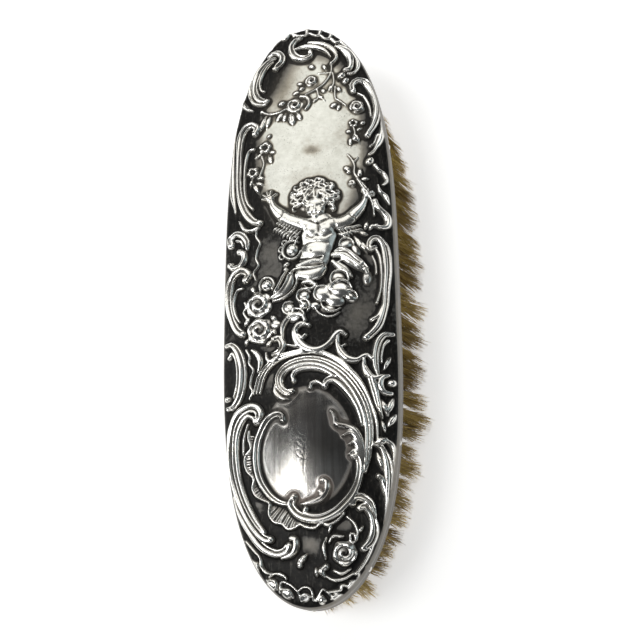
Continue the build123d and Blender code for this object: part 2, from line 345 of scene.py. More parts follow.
for x, y, tip_x, tip_y, w in (
        (-0.6, 66.9, -2.8, 67.5, 0.6), (-1.6, 64.3, -4.4, 63.6, 0.6), (5.4, 73.8, 6.8, 71.2, 0.6),
        (1, 73.9, 3.2, 72.2, 0.8), (8.6, 66, 7.2, 63.2, 0.6), (9.8, 65, 11.4, 62.8, 0.6),
        (5, 64.6, 6.6, 62.8, 0.6), (4, 61.8, 6, 61.4, 0.5), (3.6, 61.4, 2.4, 59.6, 0.5),
        (10, 58.8, 7.6, 57.6, 0.8), (10.8, 58.6, 10, 56, 0.6), (-7, 57.6, -9.4, 54.4, 0.8),
        (-6.2, 57.2, -6.8, 53.8, 0.7), (-4.6, 57, -3.6, 52, 1.2), (-2.6, 57, -1, 53.6, 0.8),
        (-12.6, 57.4, -14.6, 51.4, 0.9), (-11.2, 57.2, -12.4, 52.6, 0.8), (-11.4, 44.6, -8.9, 43.8, 0.6),
        (-11.4, 43.4, -10.4, 40, 0.8), (-15.2, 36.4, -12.6, 35.6, 0.7), (-15.6, 34.8, -12.8, 33.4, 0.6),
        (-16.4, 34.6, -14.4, 30.8, 0.7), (-16.8, 36.2, -17.4, 33.6, 0.5), (14.4, 48.6, 12.2, 48.8, 0.6),
        (14.8, 48, 16.6, 44.6, 0.9), (13.8, 46.8, 13.8, 43.4, 0.6), (13.8, 35.4, 11.4, 36.8, 0.8),
        (14, 35, 12.2, 34.6, 0.5), (16.2, 33, 16.6, 36.4, 0.8), (16.6, 32.4, 19.2, 32.6, 0.6),
        (17.6, 30.2, 16.6, 27.6, 0.6), (18.8, 28.6, 21, 27.2, 0.6), (15.6, 48.8, 17.4, 50, 0.5)):
    leaf(x, y, tip_x, tip_y, w)

# ---- upper side borders
scroll([(-16, 51.7), (-15.4, 53.6), (-17.2, 55), (-19.4, 54), (-20.8, 51), (-21.2, 46), (-21.2, 40),
    (-21, 34), (-20.2, 29), (-18.6, 25), (-16, 21.8), (-14, 21)],
    (0.8, 0.9, 1, 0.95, 0.8, 0.75, 0.75, 0.75, 0.8, 0.9, 1, 0.8), 1.1, 2, tail=1.15, head=1.1)
ridge([(-16.3, 46.4), (-17.8, 46), (-18.8, 43.4), (-19.2, 38), (-19, 32), (-18, 28.2), (-16.3, 25.9)],
    (0.5, 0.55, 0.5, 0.45, 0.45, 0.45, 0.4), 0.85)
ridge([(-22.8, 56), (-23.4, 48), (-23.6, 40), (-23.4, 32), (-22.4, 26)], (0.4, 0.8, 0.8, 0.7, 0.4), 0.6)
ridge([(-20.6, 22.6), (-19, 19.8), (-16.8, 18.9), (-14.4, 19.4)], (0.35, 0.6, 0.7, 0.5), 0.9)
scroll([(15, 62.9), (14.7, 65), (16, 66.6), (18.1, 66.5), (19.8, 64.6), (21.2, 61), (21.8, 56), (21, 51),
    (18.9, 47.2)], (0.7, 0.8, 0.9, 0.9, 0.9, 0.8, 0.8, 0.8, 0.7), 1.05, 2, tail=0.95, head=1)
ridge([(16.4, 62), (18.4, 60.6), (19.8, 57.4), (20.2, 54)], (0.4, 0.5, 0.45, 0.3), 0.8)
ridge([(22.9, 56), (23.3, 51), (22.6, 46), (21, 42.2), (19.3, 40.6)], (0.35, 0.7, 0.8, 0.7, 0.4), 1)
ridge([(22, 47.6), (21, 44.6), (19.6, 43.4)], (0.4, 0.5, 0.3), 0.8)
ball(19.4, 38.4, 1.6, 1.1, 1.2, 50)
ridge([(20.8, 37), (22, 35.4), (23.4, 34.2), (24, 32), (23.2, 30.6)], (0.6, 0.6, 0.5, 0.45, 0.3), 0.9)
ridge([(21.6, 30.4), (22.2, 28.4), (23.6, 26.8), (24.3, 24.4)], (0.4, 0.7, 0.6, 0.3), 0.9)
scroll([(20.6, 25), (21.2, 23.2), (22.8, 21.6), (24.1, 19.4), (23.8, 17.2), (22, 16.6), (20.6, 17.2)],
    (0.7, 0.8, 0.7, 0.7, 0.6, 0.6, 0.5), 1, 1, tail=1, head=0.7)

# ---- left border, middle
scroll([(-23.2, 15.2), (-23.4, 17.3), (-21.6, 18.5), (-19.5, 17.7), (-18, 15.4), (-17.9, 13.2)],
    (0.8, 0.85, 0.85, 0.8, 0.7, 0.35), 1, 2, tail=1)
ridge([(-21.4, 16.4), (-20, 15.9), (-19.2, 14.2)], (0.5, 0.45, 0.3), 0.8)
scroll([(-20.4, 12.7), (-19, 11.8), (-18.9, 9.6), (-20.2, 8), (-22.4, 7.7), (-23.4, 9)],
    (0.8, 0.8, 0.8, 0.8, 0.7, 0.6), 1, 1, tail=0.95, head=0.9)
scroll([(-18.3, 3.3), (-17.3, 4.7), (-18.4, 6.1), (-20.5, 6.3), (-22.5, 4.6), (-23.5, 1.2), (-23.6, -3),
    (-22.7, -7.4), (-21, -11.2), (-19, -13.2)], (0.8, 0.9, 0.95, 0.9, 0.9, 0.8, 0.8, 0.85, 0.9, 0.9), 1.1,
    2, tail=1.1, head=1.1)
ridge([(-19.3, 1), (-21, 0.4), (-22, -3), (-21.3, -6.8), (-20, -9.4)], (0.4, 0.5, 0.5, 0.45, 0.3), 0.8)
ridge([(-15, 18.8), (-15.2, 16.8), (-14, 14.6), (-14.8, 12.4), (-15.2, 9.8), (-14.4, 7.6), (-15.8, 5.4),
    (-15.2, 3.2)], 0.35, 0.6)
scroll([(-24, -15.8), (-22.2, -16), (-20.2, -18.4), (-18.9, -22.6), (-18.8, -27.2), (-19.6, -31.2),
    (-21.4, -34), (-23.2, -34.4)], (0.5, 0.8, 0.9, 0.9, 0.9, 0.85, 0.8, 0.5), 1.1, 2)
ridge([(-23.2, -19.6), (-22.2, -18.4), (-21, -20.4), (-20.5, -24), (-20.6, -28), (-21.6, -31.4)],
    (0.7, 0.5, 0.4, 0.4, 0.4, 0.3), 0.85)
ball(-23.6, -31.6, 0.9, 0.9)
ridge([(-18, -17.8), (-16.9, -20), (-17, -22), (-15.7, -24), (-16.3, -26.2), (-16.6, -28.6), (-15.9, -30.2),
    (-16.8, -32.2)], 0.35, 0.6)

# ---- right border, middle
scroll([(20.2, 10.3), (18.9, 9.8), (18.6, 11.4), (19.6, 12.9), (21.2, 12.9), (22.7, 11), (23.3, 7.6),
    (23.4, 3), (22.9, -2.4), (22.4, -8), (20.8, -12.8), (18.6, -15.6), (17, -16.8)],
    (0.5, 0.7, 0.8, 0.9, 0.9, 0.85, 0.8, 0.8, 0.8, 0.8, 0.9, 0.9, 0.8), 1.1, 2, head=1.1)
ridge([(20.6, 9.6), (21.5, 7), (21.8, 2.6), (21.4, -2.4), (20.2, -6.6)], (0.45, 0.5, 0.45, 0.4, 0.5), 0.85)
ridge([(19.4, 7.8), (20.2, 5.4), (20.4, 2.4)], 0.3, 0.6)
ridge([(21.6, -7.6), (20.4, -10.4), (18.6, -11.6)], (0.4, 0.6, 0.7), 0.9)
scroll([(24.1, -15.9), (22, -16.1), (20.3, -18), (19.4, -21.2), (19.3, -24.8), (19.9, -27.8)],
    (0.4, 0.8, 0.85, 0.8, 0.7, 0.35), 1, 2)
ridge([(23, -17.8), (21.7, -19.2), (21, -22), (21, -24)], (0.6, 0.45, 0.35, 0.3), 0.85)
leaf(21.6, -26, 23.6, -22.4, 0.7)
scroll([(22.8, -27.8), (21, -28.4), (20.4, -30.4), (21.3, -32.4), (23.1, -32.8)], (0.4, 0.7, 0.8, 0.7, 0.5),
    1, 1)
ball(23.5, -29.9, 1.1, 1)
leaf(20.6, -34.6, 22.6, -39.2, 0.9)
leaf(23.6, -34.2, 22, -39, 0.7)
leaf(24, -38.6, 22.2, -42, 0.7)
leaf(20.4, -40.4, 21.6, -43.6, 0.6)

# ---- clouds under the putto, drawn apart so that their puffs run into each other
FAINT = 0.05  # forms drawn apart end where they are lower than this
ground, height = height, np.zeros((NY, NX))
for x, y, r, h, ry, turn in (
        (10, -2.4, 3.3, 1.1, 2.2, -8), (4.9, -3.4, 2.4, 1.05, 2.3, 0), (8.2, -5.2, 2.9, 0.85, 2, -15),
        (12.8, -4.6, 1.9, 0.8, 1.3, -30), (-0.4, -3.6, 1.6, 0.95, 1.6, 0), (-0.6, -6.4, 1.3, 1.05, 1.2, 0),
        (-4.9, -6.8, 1.5, 0.95, 1.5, 0), (-3, -9.8, 2.4, 0.75, 1.4, 12), (9.7, 0.9, 2.7, 0.8, 2.7, 0),
        (-3.9, 10.8, 2.5, 0.6, 2.5, 0), (11.9, 11.4, 1.9, 0.95, 1.5, 20), (-5.7, 6.7, 1, 0.85, 0.7, 30),
        (-5.9, 5.2, 0.8, 0.9, 0.6, 10), (14.6, 9.4, 1.2, 0.7, 2, 25), (17.8, 1.2, 1.2, 0.5, 2.2, 0),
        (-9, -11.2, 1.5, 0.6, 1.2, 0), (7.2, -1.2, 1.6, 0.9, 1.3, 20), (2.6, -6.6, 1.5, 0.7, 1.1, 0),
        (6.6, -8, 2.2, 0.55, 1.2, -10)):
    ball(x, y, 1.08 * r, 0.82 * h, 1.08 * ry, turn, soften=0.45)
puffs, height = height, ground
put(EVERYWHERE, np.where(puffs > FAINT, puffs, NOTHING), 0.10)
for x, y, r, span, start, h, w in (
        (-3.9, 10.8, 3.1, 300, 50, 0.95, 0.42), (9.7, 0.9, 2.8, 250, -20, 1, 0.42),
        (4.9, -3.4, 2.6, 190, 70, 1, 0.4), (10, -2.6, 3.4, 150, 10, 1.15, 0.42),
        (8, -5.4, 3.6, 120, 190, 0.85, 0.34), (7.2, -6, 4.6, 110, 200, 0.8, 0.3),
        (-0.5, -3.6, 2.2, 230, 30, 1.05, 0.42), (-0.6, -6.4, 1.95, 200, -60, 0.95, 0.4),
        (-4.9, -6.8, 2, 300, 60, 0.85, 0.36), (-3, -9.8, 2.8, 170, 10, 0.9, 0.4),
        (11.9, 11.4, 2.3, 190, 0, 0.95, 0.36), (12.8, -4.6, 2.1, 170, -10, 0.8, 0.32),
        (10.8, 4.6, 2, 110, 60, 0.85, 0.34), (-7.2, 11.4, 0.9, 230, 60, 0.7, 0.3),
        (-7, 9.2, 0.9, 230, 90, 0.7, 0.3), (-6.2, 13.4, 0.9, 220, 30, 0.7, 0.3),
        (1.6, 0.4, 2, 150, 200, 0.95, 0.36)):
    turns = np.radians(start + np.linspace(0, span, 12))
    grow = np.linspace(1, 0.84, 12)
    ridge(list(zip(x + r * grow * np.cos(turns), y + r * grow * np.sin(turns))), (0.5 * w, w, w, 0.6 * w),
        h)
ball(-3.9, 10.9, 1.9, 1.2, 2.1)
ball(9.5, 0.4, 1.1, 1.1)

# ---- roses by the cloud, and the ribbon from them
rose(-14.2, -4.8, 4.3, 1.15, 20, 6)
rose(-13.8, -12.6, 4.2, 1.15, 75, 6)
ball(-11.6, 0.8, 1.75, 1.1)
ridge([(-13.6, -0.6), (-13.8, 1.6), (-12.4, 3.2), (-10.4, 2.9), (-9.4, 1.2), (-10, -0.6)],
    (0.3, 0.4, 0.4, 0.4, 0.4, 0.3), 0.8)
ridge([(-18.6, -3.4), (-18, -5), (-18.8, -6.6), (-17.8, -8.4)], 0.4, 0.7)
for x, y, tip_x, tip_y, w in (
        (-17, -8.4, -18.6, -10.8, 0.8), (-10.4, -8.6, -8.6, -10, 0.8), (-10, -12.6, -8.6, -14.2, 0.7),
        (-15.6, -0.8, -16.6, 1.4, 0.7), (-9.6, -2.4, -7.6, 0.6, 0.8), (-10.2, -16, -11.8, -17.6, 0.7),
        (-17.4, -14.6, -18.2, -16.6, 0.7)):
    leaf(x, y, tip_x, tip_y, w)
ridge([(-3.9, 3.8), (-4.6, 1.2), (-6.6, -1.6), (-9.6, -3.4)], (0.6, 1.5, 1.5, 0.7), 0.7)
ridge([(-3.4, 4.5), (-4.9, 3), (-5.7, 1), (-7.5, -1.6), (-10.2, -3.2)], (0.3, 0.4, 0.42, 0.4, 0.3), 1.2)
ridge([(-2.8, 3.2), (-2.5, 0.8), (-4, -2), (-6.8, -3.8), (-9.6, -4.4)], (0.25, 0.36, 0.4, 0.4, 0.3), 1.05)
ridge([(-5.2, 5), (-6.8, 2.8), (-8, 0.4), (-9.2, -1.4)], (0.35, 0.6, 0.6, 0.3), 0.95)

# ---- wings: two rows of feathers under each arm
feathers = np.random.default_rng(7)
for row, long_by in ((0, 1), (1, 0.75)):
    for k in range(9):
        t = k / 8
        x, y = -1.9 - 6.6 * t + 0.5 * row, 16.6 + 3.7 * t - 0.2 - 1.5 * (1 - row)
        run = long_by * (2.7 - 1.3 * t) * feathers.uniform(0.85, 1.15)
        aim = math.radians(feathers.uniform(228, 246) - 30 * t)
        tip = (x + run * math.cos(aim), y + run * math.sin(aim))
        ridge([(x, y), ((x + tip[0]) / 2 - 0.25, (y + tip[1]) / 2), tip], (0.28, 0.40, 0.16), (0.85, 0.95 -
            0.15 * (1 - row), 0.6))
    for k in range(8):
        t = k / 7
        x, y = 9.9 + 5.8 * t - 0.3 * row, 16.2 + 1.2 * t - 1.3 * (1 - row)
        run = long_by * (2.2 - 0.7 * t) * feathers.uniform(0.85, 1.15)
        aim = math.radians(feathers.uniform(-52, -34) + 34 * t)
        tip = (x + run * math.cos(aim), y + run * math.sin(aim))
        ridge([(x, y), ((x + tip[0]) / 2 + 0.2, (y + tip[1]) / 2 + 0.1), tip], (0.26, 0.38, 0.16), (0.8, 0.9
            - 0.15 * (1 - row), 0.6))
for x, y, tip_x, tip_y, w in (
        (16, 15.2, 18.4, 14.4, 0.6), (17.6, 16.2, 18.2, 18.8, 0.7), (18.8, 16, 20, 18, 0.6),
        (14.4, 14, 17, 9.6, 0.8), (16.2, 12.6, 18, 8.6, 0.7)):
    leaf(x, y, tip_x, tip_y, w)

# ---- drapery at the right
ridge([(8.4, 8.3), (10.8, 8.5), (13.6, 6.6), (16, 4.6), (17.6, 3)], (0.9, 1.9, 2.2, 1.7, 0.8),
    (1.05, 1.2, 1.15, 1.05, 0.8))
ridge([(8.6, 9.4), (10.2, 10.2), (12.6, 9.5), (14.4, 7.8), (16.6, 5.9), (18.2, 3.8)],
    (0.2, 0.32, 0.36, 0.34, 0.3, 0.2), 1.25)
cut([(9.6, 9.1), (12.2, 8.6), (14.2, 6.8), (16.6, 4.6)], 0.2, (0.4, 0.55, 0.5, 0.2))
cut([(10.6, 7.6), (13, 6), (15.6, 3.8)], 0.25, (0.1, 0.28, 0.1))
ball(17.3, 3.4, 0.8, 1.1)
ball(16.3, 5.3, 0.5, 1.25)
ridge([(8, 6.4), (9.6, 5), (11.6, 3.6), (13.4, 1.6)], (0.6, 1.2, 1.1, 0.5), 1.05)
cut([(8.8, 6.2), (11, 4.4), (13, 2.4)], 0.18, 0.35)

# ---- the putto's body, drawn apart so that its limbs run smoothly into each other
ground, height = height, np.zeros((NY, NX))
FLESH = 0.5  # how wide the fillet is where two parts of the body meet
ridge([(4.2, 17.4), (4, 14.5), (3.6, 11.5), (3, 8.6), (2.4, 6.9)], (4.9, 5, 4.4, 4.4, 4.1),
    (1.2, 1.3, 1.1, 1.25, 1), soften=FLESH)
for x, y, r, h, ry, turn in (
        (1.7, 16.3, 2.2, 1.6, 1.8, 20), (6.3, 16.5, 2.3, 1.6, 1.8, -20), (2.7, 9.5, 3.3, 1.5, 2.1, 0),
        (0.2, 18.2, 2, 1.4, 1.9, 0), (8, 18.3, 2.1, 1.4, 1.9, 0)):
    ball(x, y, r, h, ry, turn, soften=FLESH)
for limb, width, tall in (
        ([(0.6, 18.2), (-2.4, 19.5), (-5.2, 20.9), (-6.6, 21.8)], (2.1, 2.1, 2, 1.8),
        (1.3, 1.35, 1.25, 1.15)), ([(-6.4, 21.8), (-8.2, 23.6), (-9.6, 25.4), (-10.2, 26.9)],
        (1.9, 1.75, 1.35, 1), (1.2, 1.2, 1.1, 1)), ([(7.8, 18.2), (10.2, 18.2), (12.6, 19.2), (13.7, 20.2)],
        (2.1, 2.1, 1.95, 1.75), (1.3, 1.35, 1.25, 1.15)),
        ([(13.5, 20), (15, 21.6), (16.6, 23.4), (17.6, 25.2)], (1.8, 1.7, 1.35, 0.95), (1.2, 1.2, 1.1, 1)),
        ([(-1.6, 2.9), (1.2, 2.5), (3.6, 3), (5.2, 4.4)], (1.5, 1.9, 1.8, 1.2), (1.15, 1.25, 1.2, 1))):
    ridge(limb, width, tall, soften=FLESH)
ball(-10.7, 28, 1.45, 1.05, 1.35, soften=0.3)
ball(18, 26.3, 1.15, 1.1, 1.3, -30, soften=0.3)
cut([(4, 18.2), (4.1, 15.8), (3.9, 13.2)], 0.55, (0.30, 0.32, 0.12))
cut([(0.6, 14.5), (2.2, 13.9), (4, 14.4), (5.8, 14), (7.6, 14.8)], 0.4, (0.2, 0.32, 0.2, 0.32, 0.2))
cut([(-0.6, 12), (2.6, 12.5), (6.6, 12)], 0.4, 0.2)
cut([(1.8, 9.9), (1.9, 9.6)], 0.3, 0.5)
cut([(-1.4, 7.7), (1.6, 7.2), (5, 7.8)], 0.3, 0.5)
cut([(-7.7, 20.9), (-6.7, 22.1), (-6.4, 23.4)], 0.2, 0.42)
cut([(12.8, 21), (13.8, 19.9), (15.1, 19.2)], 0.22, 0.45)
cut([(-0.9, 16), (-0.6, 17.4), (-1.6, 18.8)], 0.25, 0.3)
cut([(8.9, 15.8), (9.1, 17.4), (8.8, 18.9)], 0.25, 0.35)
cut([(1.4, 19.4), (4, 18.3), (6.6, 19.4)], 0.35, 0.3)
body, height = height, ground
put(EVERYWHERE, np.where(body > FAINT, body, NOTHING), 0.08)
ridge([(-2.2, 5.5), (0.6, 6.3), (3.2, 6.7), (5.1, 6.3)], (0.7, 0.95, 0.9, 0.6), 1.4)
ridge([(-4.2, 3.5), (-3.2, 4.5), (-0.6, 4.8), (2.4, 4.6), (4.8, 4.8)], (0.3, 0.42, 0.42, 0.42, 0.3), 1.5)
ridge([(-0.8, 0.4), (1.4, 0.5), (3.2, -0.7)], (0.5, 0.8, 0.6), 1)
for palm_x, palm_y, fingers in (
        (-10.7, 28, ((170, 2.6), (140, 2.9), (112, 3), (84, 2.8), (40, 2.5))), (18, 26.3, ((110, 2.8),
        (76, 2.6), (46, 2.5), (14, 2.3)))):
    for turn, long_by in fingers:
        c, d = math.cos(math.radians(turn)), math.sin(math.radians(turn))
        ridge([(palm_x + 1 * c, palm_y + 1 * d), (palm_x + long_by * c, palm_y + long_by * d)],
            (0.46, 0.42), (1.15, 1.10))
ridge([(15.6, 32.4), (17, 29.8), (18.8, 26.8), (19.9, 23.8), (20.3, 20.6)], 0.3, (1.2, 1.2, 1.3, 1, 0.8))

# ---- its head: plain, even features under curls
ball(2.9, 27, 6.5, 0.98, 5.4)
ball(3.1, 28.2, 3.4, 1.3, 2.4)
ball(3.2, 23.3, 3.2, 1.50, 3.5)
ball(3.2, 25, 2.7, 1.62, 1.8, soften=0.4)
ball(1.7, 22.1, 1.25, 1.62, 1.1, soften=0.4)
ball(4.7, 22.1, 1.25, 1.62, 1.1, soften=0.4)
ball(3.2, 20.6, 1.05, 1.60, 0.8, soften=0.4)
cut([(1.2, 23.7), (1.9, 23.85), (2.6, 23.7)], 0.32, 0.30)
cut([(3.8, 23.7), (4.5, 23.85), (5.2, 23.7)], 0.32, 0.30)
ball(1.9, 23.65, 0.42, 1.52, 0.3)
ball(4.5, 23.65, 0.42, 1.52, 0.3)
ridge([(3.2, 24.3), (3.2, 22.5)], (0.30, 0.52), (1.62, 1.9))
cut([(2.45, 21.45), (3.2, 21.3), (3.95, 21.45)], 0.17, 0.30)
ridge([(2.6, 21), (3.2, 20.92), (3.8, 21)], 0.22, 1.62)
CROWN_X, CROWN_Y = 3.2, 30.2
LOCK_WIDTHS = np.array([0.5, 1, 1, 0.95, 0.8, 0.4])
LOCK_HEIGHTS = np.array([0.85, 1, 1, 0.95, 0.85, 0.7])
locks = np.random.default_rng(12)


def lock(x, y, aim, curl, top, wide=0.44):
    """One curl of hair: a short ridge that sets off along aim and winds up towards its end."""
    path = [(x, y)]
    for step, share in ((1.0, 0.15), (0.95, 0.5), (0.75, 1.0), (0.6, 1.35), (0.5, 1.5)):
        aim += curl * share
        path.append((path[-1][0] + step * math.cos(aim), path[-1][1] + step * math.sin(aim)))
    ridge(path, wide * LOCK_WIDTHS, top * LOCK_HEIGHTS)


for reach_x, reach_y, count, top in ((5.5, 4.6, 23, 1.18), (4.2, 3.6, 17, 1.36), (2.7, 2.5, 11, 1.52)):
    for k in range(count):
        a = math.radians(-36 + 252 * (k + 0.5) / count + locks.uniform(-7, 7))
        x, y = 2.9 + reach_x * math.cos(a), 26.8 + reach_y * math.sin(a)
        side = math.copysign(1, math.cos(a))
        away = math.atan2(y - CROWN_Y, x - CROWN_X) if math.dist((x, y), (CROWN_X, CROWN_Y)) > 1.5 else a
        aim = away + side * locks.uniform(-0.2, 0.9)
        start = (x - 0.5 * math.cos(aim), y - 0.5 * math.sin(aim))
        if math.hypot((x - 3.2) / 3.9, (y - 22.6) / 3.9) > 1:
            lock(*start, aim, side * locks.choice((-0.8, 0.7, 1)), top)
for x, y, aim, curl in (
        (3, 28.6, 262, 0.5), (3.8, 28.8, 282, -0.5), (1.4, 28.2, 235, 0.5), (5.3, 28.2, 305, -0.5),
        (2.6, 30, 195, 0.5), (1.6, 29.2, 205, 0.6), (2.9, 29.2, 250, -0.5), (3.9, 29.4, 290, 0.5),
        (4.6, 30, 340, -0.6), (5.2, 29, 330, -0.5), (0.4, 27.2, 235, 0.5), (6.2, 27.4, 305, -0.5),
        (3.4, 30.6, 170, 0.6), (4, 30.8, 10, -0.6)):
    lock(x, y, math.radians(aim), curl, 1.62, 0.40)

# ---- rocaille crest between the picture and the cartouche
scroll([(0.9, -12.4), (-1.4, -11.9), (-3.1, -13.4), (-2.9, -15.8), (-1.4, -18), (1, -19.6), (4, -19.5),
    (6.6, -18), (8.2, -15.9), (9.8, -14.8), (11.3, -15.8)],
    (0.4, 0.7, 0.8, 1, 1.1, 1.1, 0.8, 0.7, 0.8, 0.8, 0.4), 1.1, 1, tail=0.7, head=0.6)
scroll([(9.2, -16.2), (9, -18.4), (9.8, -20.6), (11.6, -22.6), (14, -23.2), (15.8, -22.2), (17.2, -21.9),
    (18.2, -23)], (0.4, 0.6, 0.9, 1, 0.9, 0.6, 0.6, 0.4), 1.1, 1, head=0.6)
scroll([(16.2, -23), (16.2, -25), (17.2, -27.4), (19, -28.4), (20.8, -27.8)], (0.4, 0.7, 0.9, 0.7, 0.4),
    1.05, 1)
ridge([(11.2, -18.6), (10.2, -19.2), (9.6, -20.8)], (0.4, 0.4, 0.3), 0.9)
scroll([(-0.2, -15.2), (-1, -16), (-2, -15)], (0.5, 0.5, 0.3), 1, 1, tail=0.7)
scroll([(-6.7, -15.8), (-6.8, -12.6), (-5.4, -9.9), (-3, -8.9), (-1, -9.4), (-0.2, -10.8)],
    (0.4, 0.6, 0.7, 0.7, 0.6, 0.4), 0.95, 1, head=0.6)
scroll([(-9.6, -20.2), (-7.4, -19.3), (-6.7, -17.4), (-7.8, -15.6), (-9.4, -15.7)],
    (0.5, 0.8, 0.85, 0.8, 0.6), 1.05, 2, head=0.85)
ridge([(-16, -18.2), (-14.4, -19.6), (-13.4, -22), (-14, -25)], (0.5, 0.9, 0.9, 0.3), 1)
ridge([(-11.8, -19.4), (-11.2, -21.6), (-9.4, -22.2), (-7.8, -20.8)], (0.3, 0.6, 0.7, 0.4), 0.95)
ridge([(-5.6, -17.6), (-3.4, -18.2), (-1.2, -19.2)], (0.3, 0.45, 0.4), 0.75)
for out in (0, 0.9, 1.8):
    ridge([(-13.6 - out, -31), (-12 - out, -26), (-8.8 - 0.6 * out, -22.6 + 0.5 * out),
        (-4.6, -21 + 0.6 * out), (0.4, -20.6 + 0.5 * out), (5, -21.4 + 0.5 * out), (9.2, -23.8 + 0.6 * out),
        (12.8, -27.2 + 0.7 * out), (15.6, -31.2 + 0.7 * out), (17.6 + 0.2 * out, -36),
        (18.8 + 0.2 * out, -41), (19, -46)], (0.3, 0.4, 0.45, 0.4, 0.3), 0.72 + 0.12 * out)
ridge([(16.6, -25.4), (17.8, -28.6), (18.8, -32), (19.6, -36), (20.6, -39.6)], (0.6, 1, 1.2, 0.9, 0.3), 1.1)
cut([(17.6, -28.4), (18.6, -32.2), (19.5, -36.6)], 0.2, 0.5)
ridge([(17.6, -26.6), (19.4, -30.4)], (0.3, 0.4), 1.1)

# ---- cartouche scrolls
scroll([(-4, -31.2), (-5.6, -31.4), (-7.3, -29.8), (-7.7, -27.2), (-6.2, -24.8), (-3, -23.3), (1, -22.9),
    (5, -23.8), (9, -26.2), (12.4, -29.8), (14.9, -34), (16.4, -38.6), (16.9, -44), (16.4, -49.4),
    (15.6, -54)], (0.7, 0.9, 1.1, 1.2, 1.2, 1.2, 1.2, 1.25, 1.25, 1.2, 1.1, 1, 0.9, 0.7, 0.35), 1.2, 3,
    tail=1)
ridge([(-8.9, -28.6), (-8.9, -31), (-7.2, -33), (-4.8, -33.4)], (0.35, 0.8, 0.8, 0.3), 0.95)
scroll([(-3.6, -28.2), (-3.9, -26.6), (-2.2, -25.2), (1, -24.9), (4.4, -25.6), (8, -27.8)],
    (0.5, 0.6, 0.6, 0.6, 0.5, 0.25), 0.95, 1, tail=0.85)
scroll([(5.2, -30.1), (5.8, -28.9), (7.6, -28.5), (10, -30.1), (12.6, -33.4), (14.4, -37.2), (15.2, -41.4)],
    (0.7, 0.9, 1, 1, 0.9, 0.7, 0.35), 1.1, 2, tail=1.05)
scroll([(1.1, -30.5), (1.5, -29.2), (3, -28.9), (4.4, -29.8)], (0.4, 0.5, 0.5, 0.3), 0.95, 1, tail=0.75)
scroll([(-6.8, -39.2), (-7.1, -37.8), (-8.7, -37.2), (-11, -38.4), (-13, -41.4), (-14.3, -45), (-14.6, -50),
    (-13.5, -55), (-11, -59), (-8.2, -61.2), (-5.4, -62)],
    (0.7, 0.85, 0.85, 0.8, 0.75, 0.75, 0.75, 0.75, 0.7, 0.6, 0.4), 1.05, 2, tail=0.95)
scroll([(-4, -60.1), (-4.7, -62.2), (-3, -64.6), (0, -65.9), (4, -65.9), (8, -64), (11.4, -60.6),
    (13.5, -56.8), (14.2, -53), (13.7, -50.4), (12.4, -49.9)],
    (0.8, 0.9, 0.9, 1, 1, 1, 1, 0.9, 0.8, 0.7, 0.6), 1.15, 2, tail=1.05, head=0.7)
scroll([(-0.7, -63.4), (-0.9, -64.3), (0.8, -65), (3.6, -65), (7, -63.5), (9.8, -61)],
    (0.5, 0.5, 0.45, 0.4, 0.35, 0.2), 1, 1, tail=0.8)
scroll([(-1.8, -62.1), (1, -61.6), (3.6, -60.6), (5.2, -58.4), (5.1, -56.5), (4.1, -55.9)],
    (0.3, 0.6, 0.75, 0.75, 0.7, 0.5), 1, 1, head=0.85)
scroll([(3.2, -58.7), (3.7, -60), (2.6, -61)], (0.5, 0.5, 0.2), 0.9, 1, tail=0.65)
for path, w in (
        ([(6.7, -37.3), (7.7, -39), (8.2, -41), (10.8, -41.7), (13.4, -43.2), (15, -46.6), (15.6, -52)],
        0.8), ([(10, -44.1), (11.6, -43.5), (13.2, -44.6), (14.6, -48), (15.3, -53)], 0.75),
        ([(11.6, -46.5), (12.9, -46), (14.2, -48.6), (14.9, -52.4)], 0.65),
        ([(11.5, -49.2), (12.8, -48.4), (14.2, -50), (15, -54.4)], 0.75)):
    scroll(path, (0.35, w, w, 0.6 * w, 0.2), 1.05, 1, tail=0.55)

# ---- a small engraved sprig in the cartouche
for k in range(4):
    x, y = -0.8 + 0.1 * k, -50 + 3 * k
    for side in (-1, 1):
        cut([(x, y), (x + 1.6 * side, y + 0.8), (x + 2.6 * side, y + 2.4), (x + 1.4 * side, y + 2.6),
            (x + 0.2 * side, y + 0.6)], 0.11, 0.02)
cut([(-1.2, -53.4), (-0.8, -48), (-0.6, -42), (-0.4, -38.4)], 0.12, 0.022)

# ---- left sweep, and the fluted shell
scroll([(-14.4, -38.8), (-13.5, -37), (-14.7, -35.2), (-17, -34.9), (-19.7, -36.4), (-21.6, -39.8),
    (-22.2, -44), (-22.1, -50), (-20.9, -56), (-18.6, -62), (-15.4, -67.4), (-12.6, -70.4), (-10.6, -71)],
    (0.9, 1.1, 1.2, 1.1, 1, 0.9, 0.85, 0.8, 0.8, 0.8, 0.85, 0.9, 0.8), 1.2, 2, tail=1.35, head=1)
scroll([(-15.6, -37.8), (-17.4, -37.2), (-19.2, -39.4), (-20.3, -43), (-20.4, -48), (-19.6, -54),
    (-17.6, -60), (-14.8, -65.4), (-12.2, -69)], (0.5, 0.55, 0.5, 0.5, 0.5, 0.5, 0.5, 0.5, 0.4), 0.9, 1)
ridge([(-17.2, -39.4), (-18.4, -43.4), (-18.6, -48)], (0.3, 0.4, 0.2), 0.6)
scroll([(-21, -59), (-18.8, -64.4), (-16, -69), (-12.8, -72.8), (-9.2, -74.6), (-6.6, -74.1),
    (-5.6, -72.8)], (0.3, 0.7, 0.9, 1, 1, 0.9, 0.8), 1.15, 2, head=0.95)
scroll([(-4.8, -70.8), (-3.7, -71.2), (-3.6, -73.2), (-4.8, -75), (-7.4, -76)], (0.6, 0.7, 0.7, 0.6, 0.3),
    1, 1, tail=0.8)
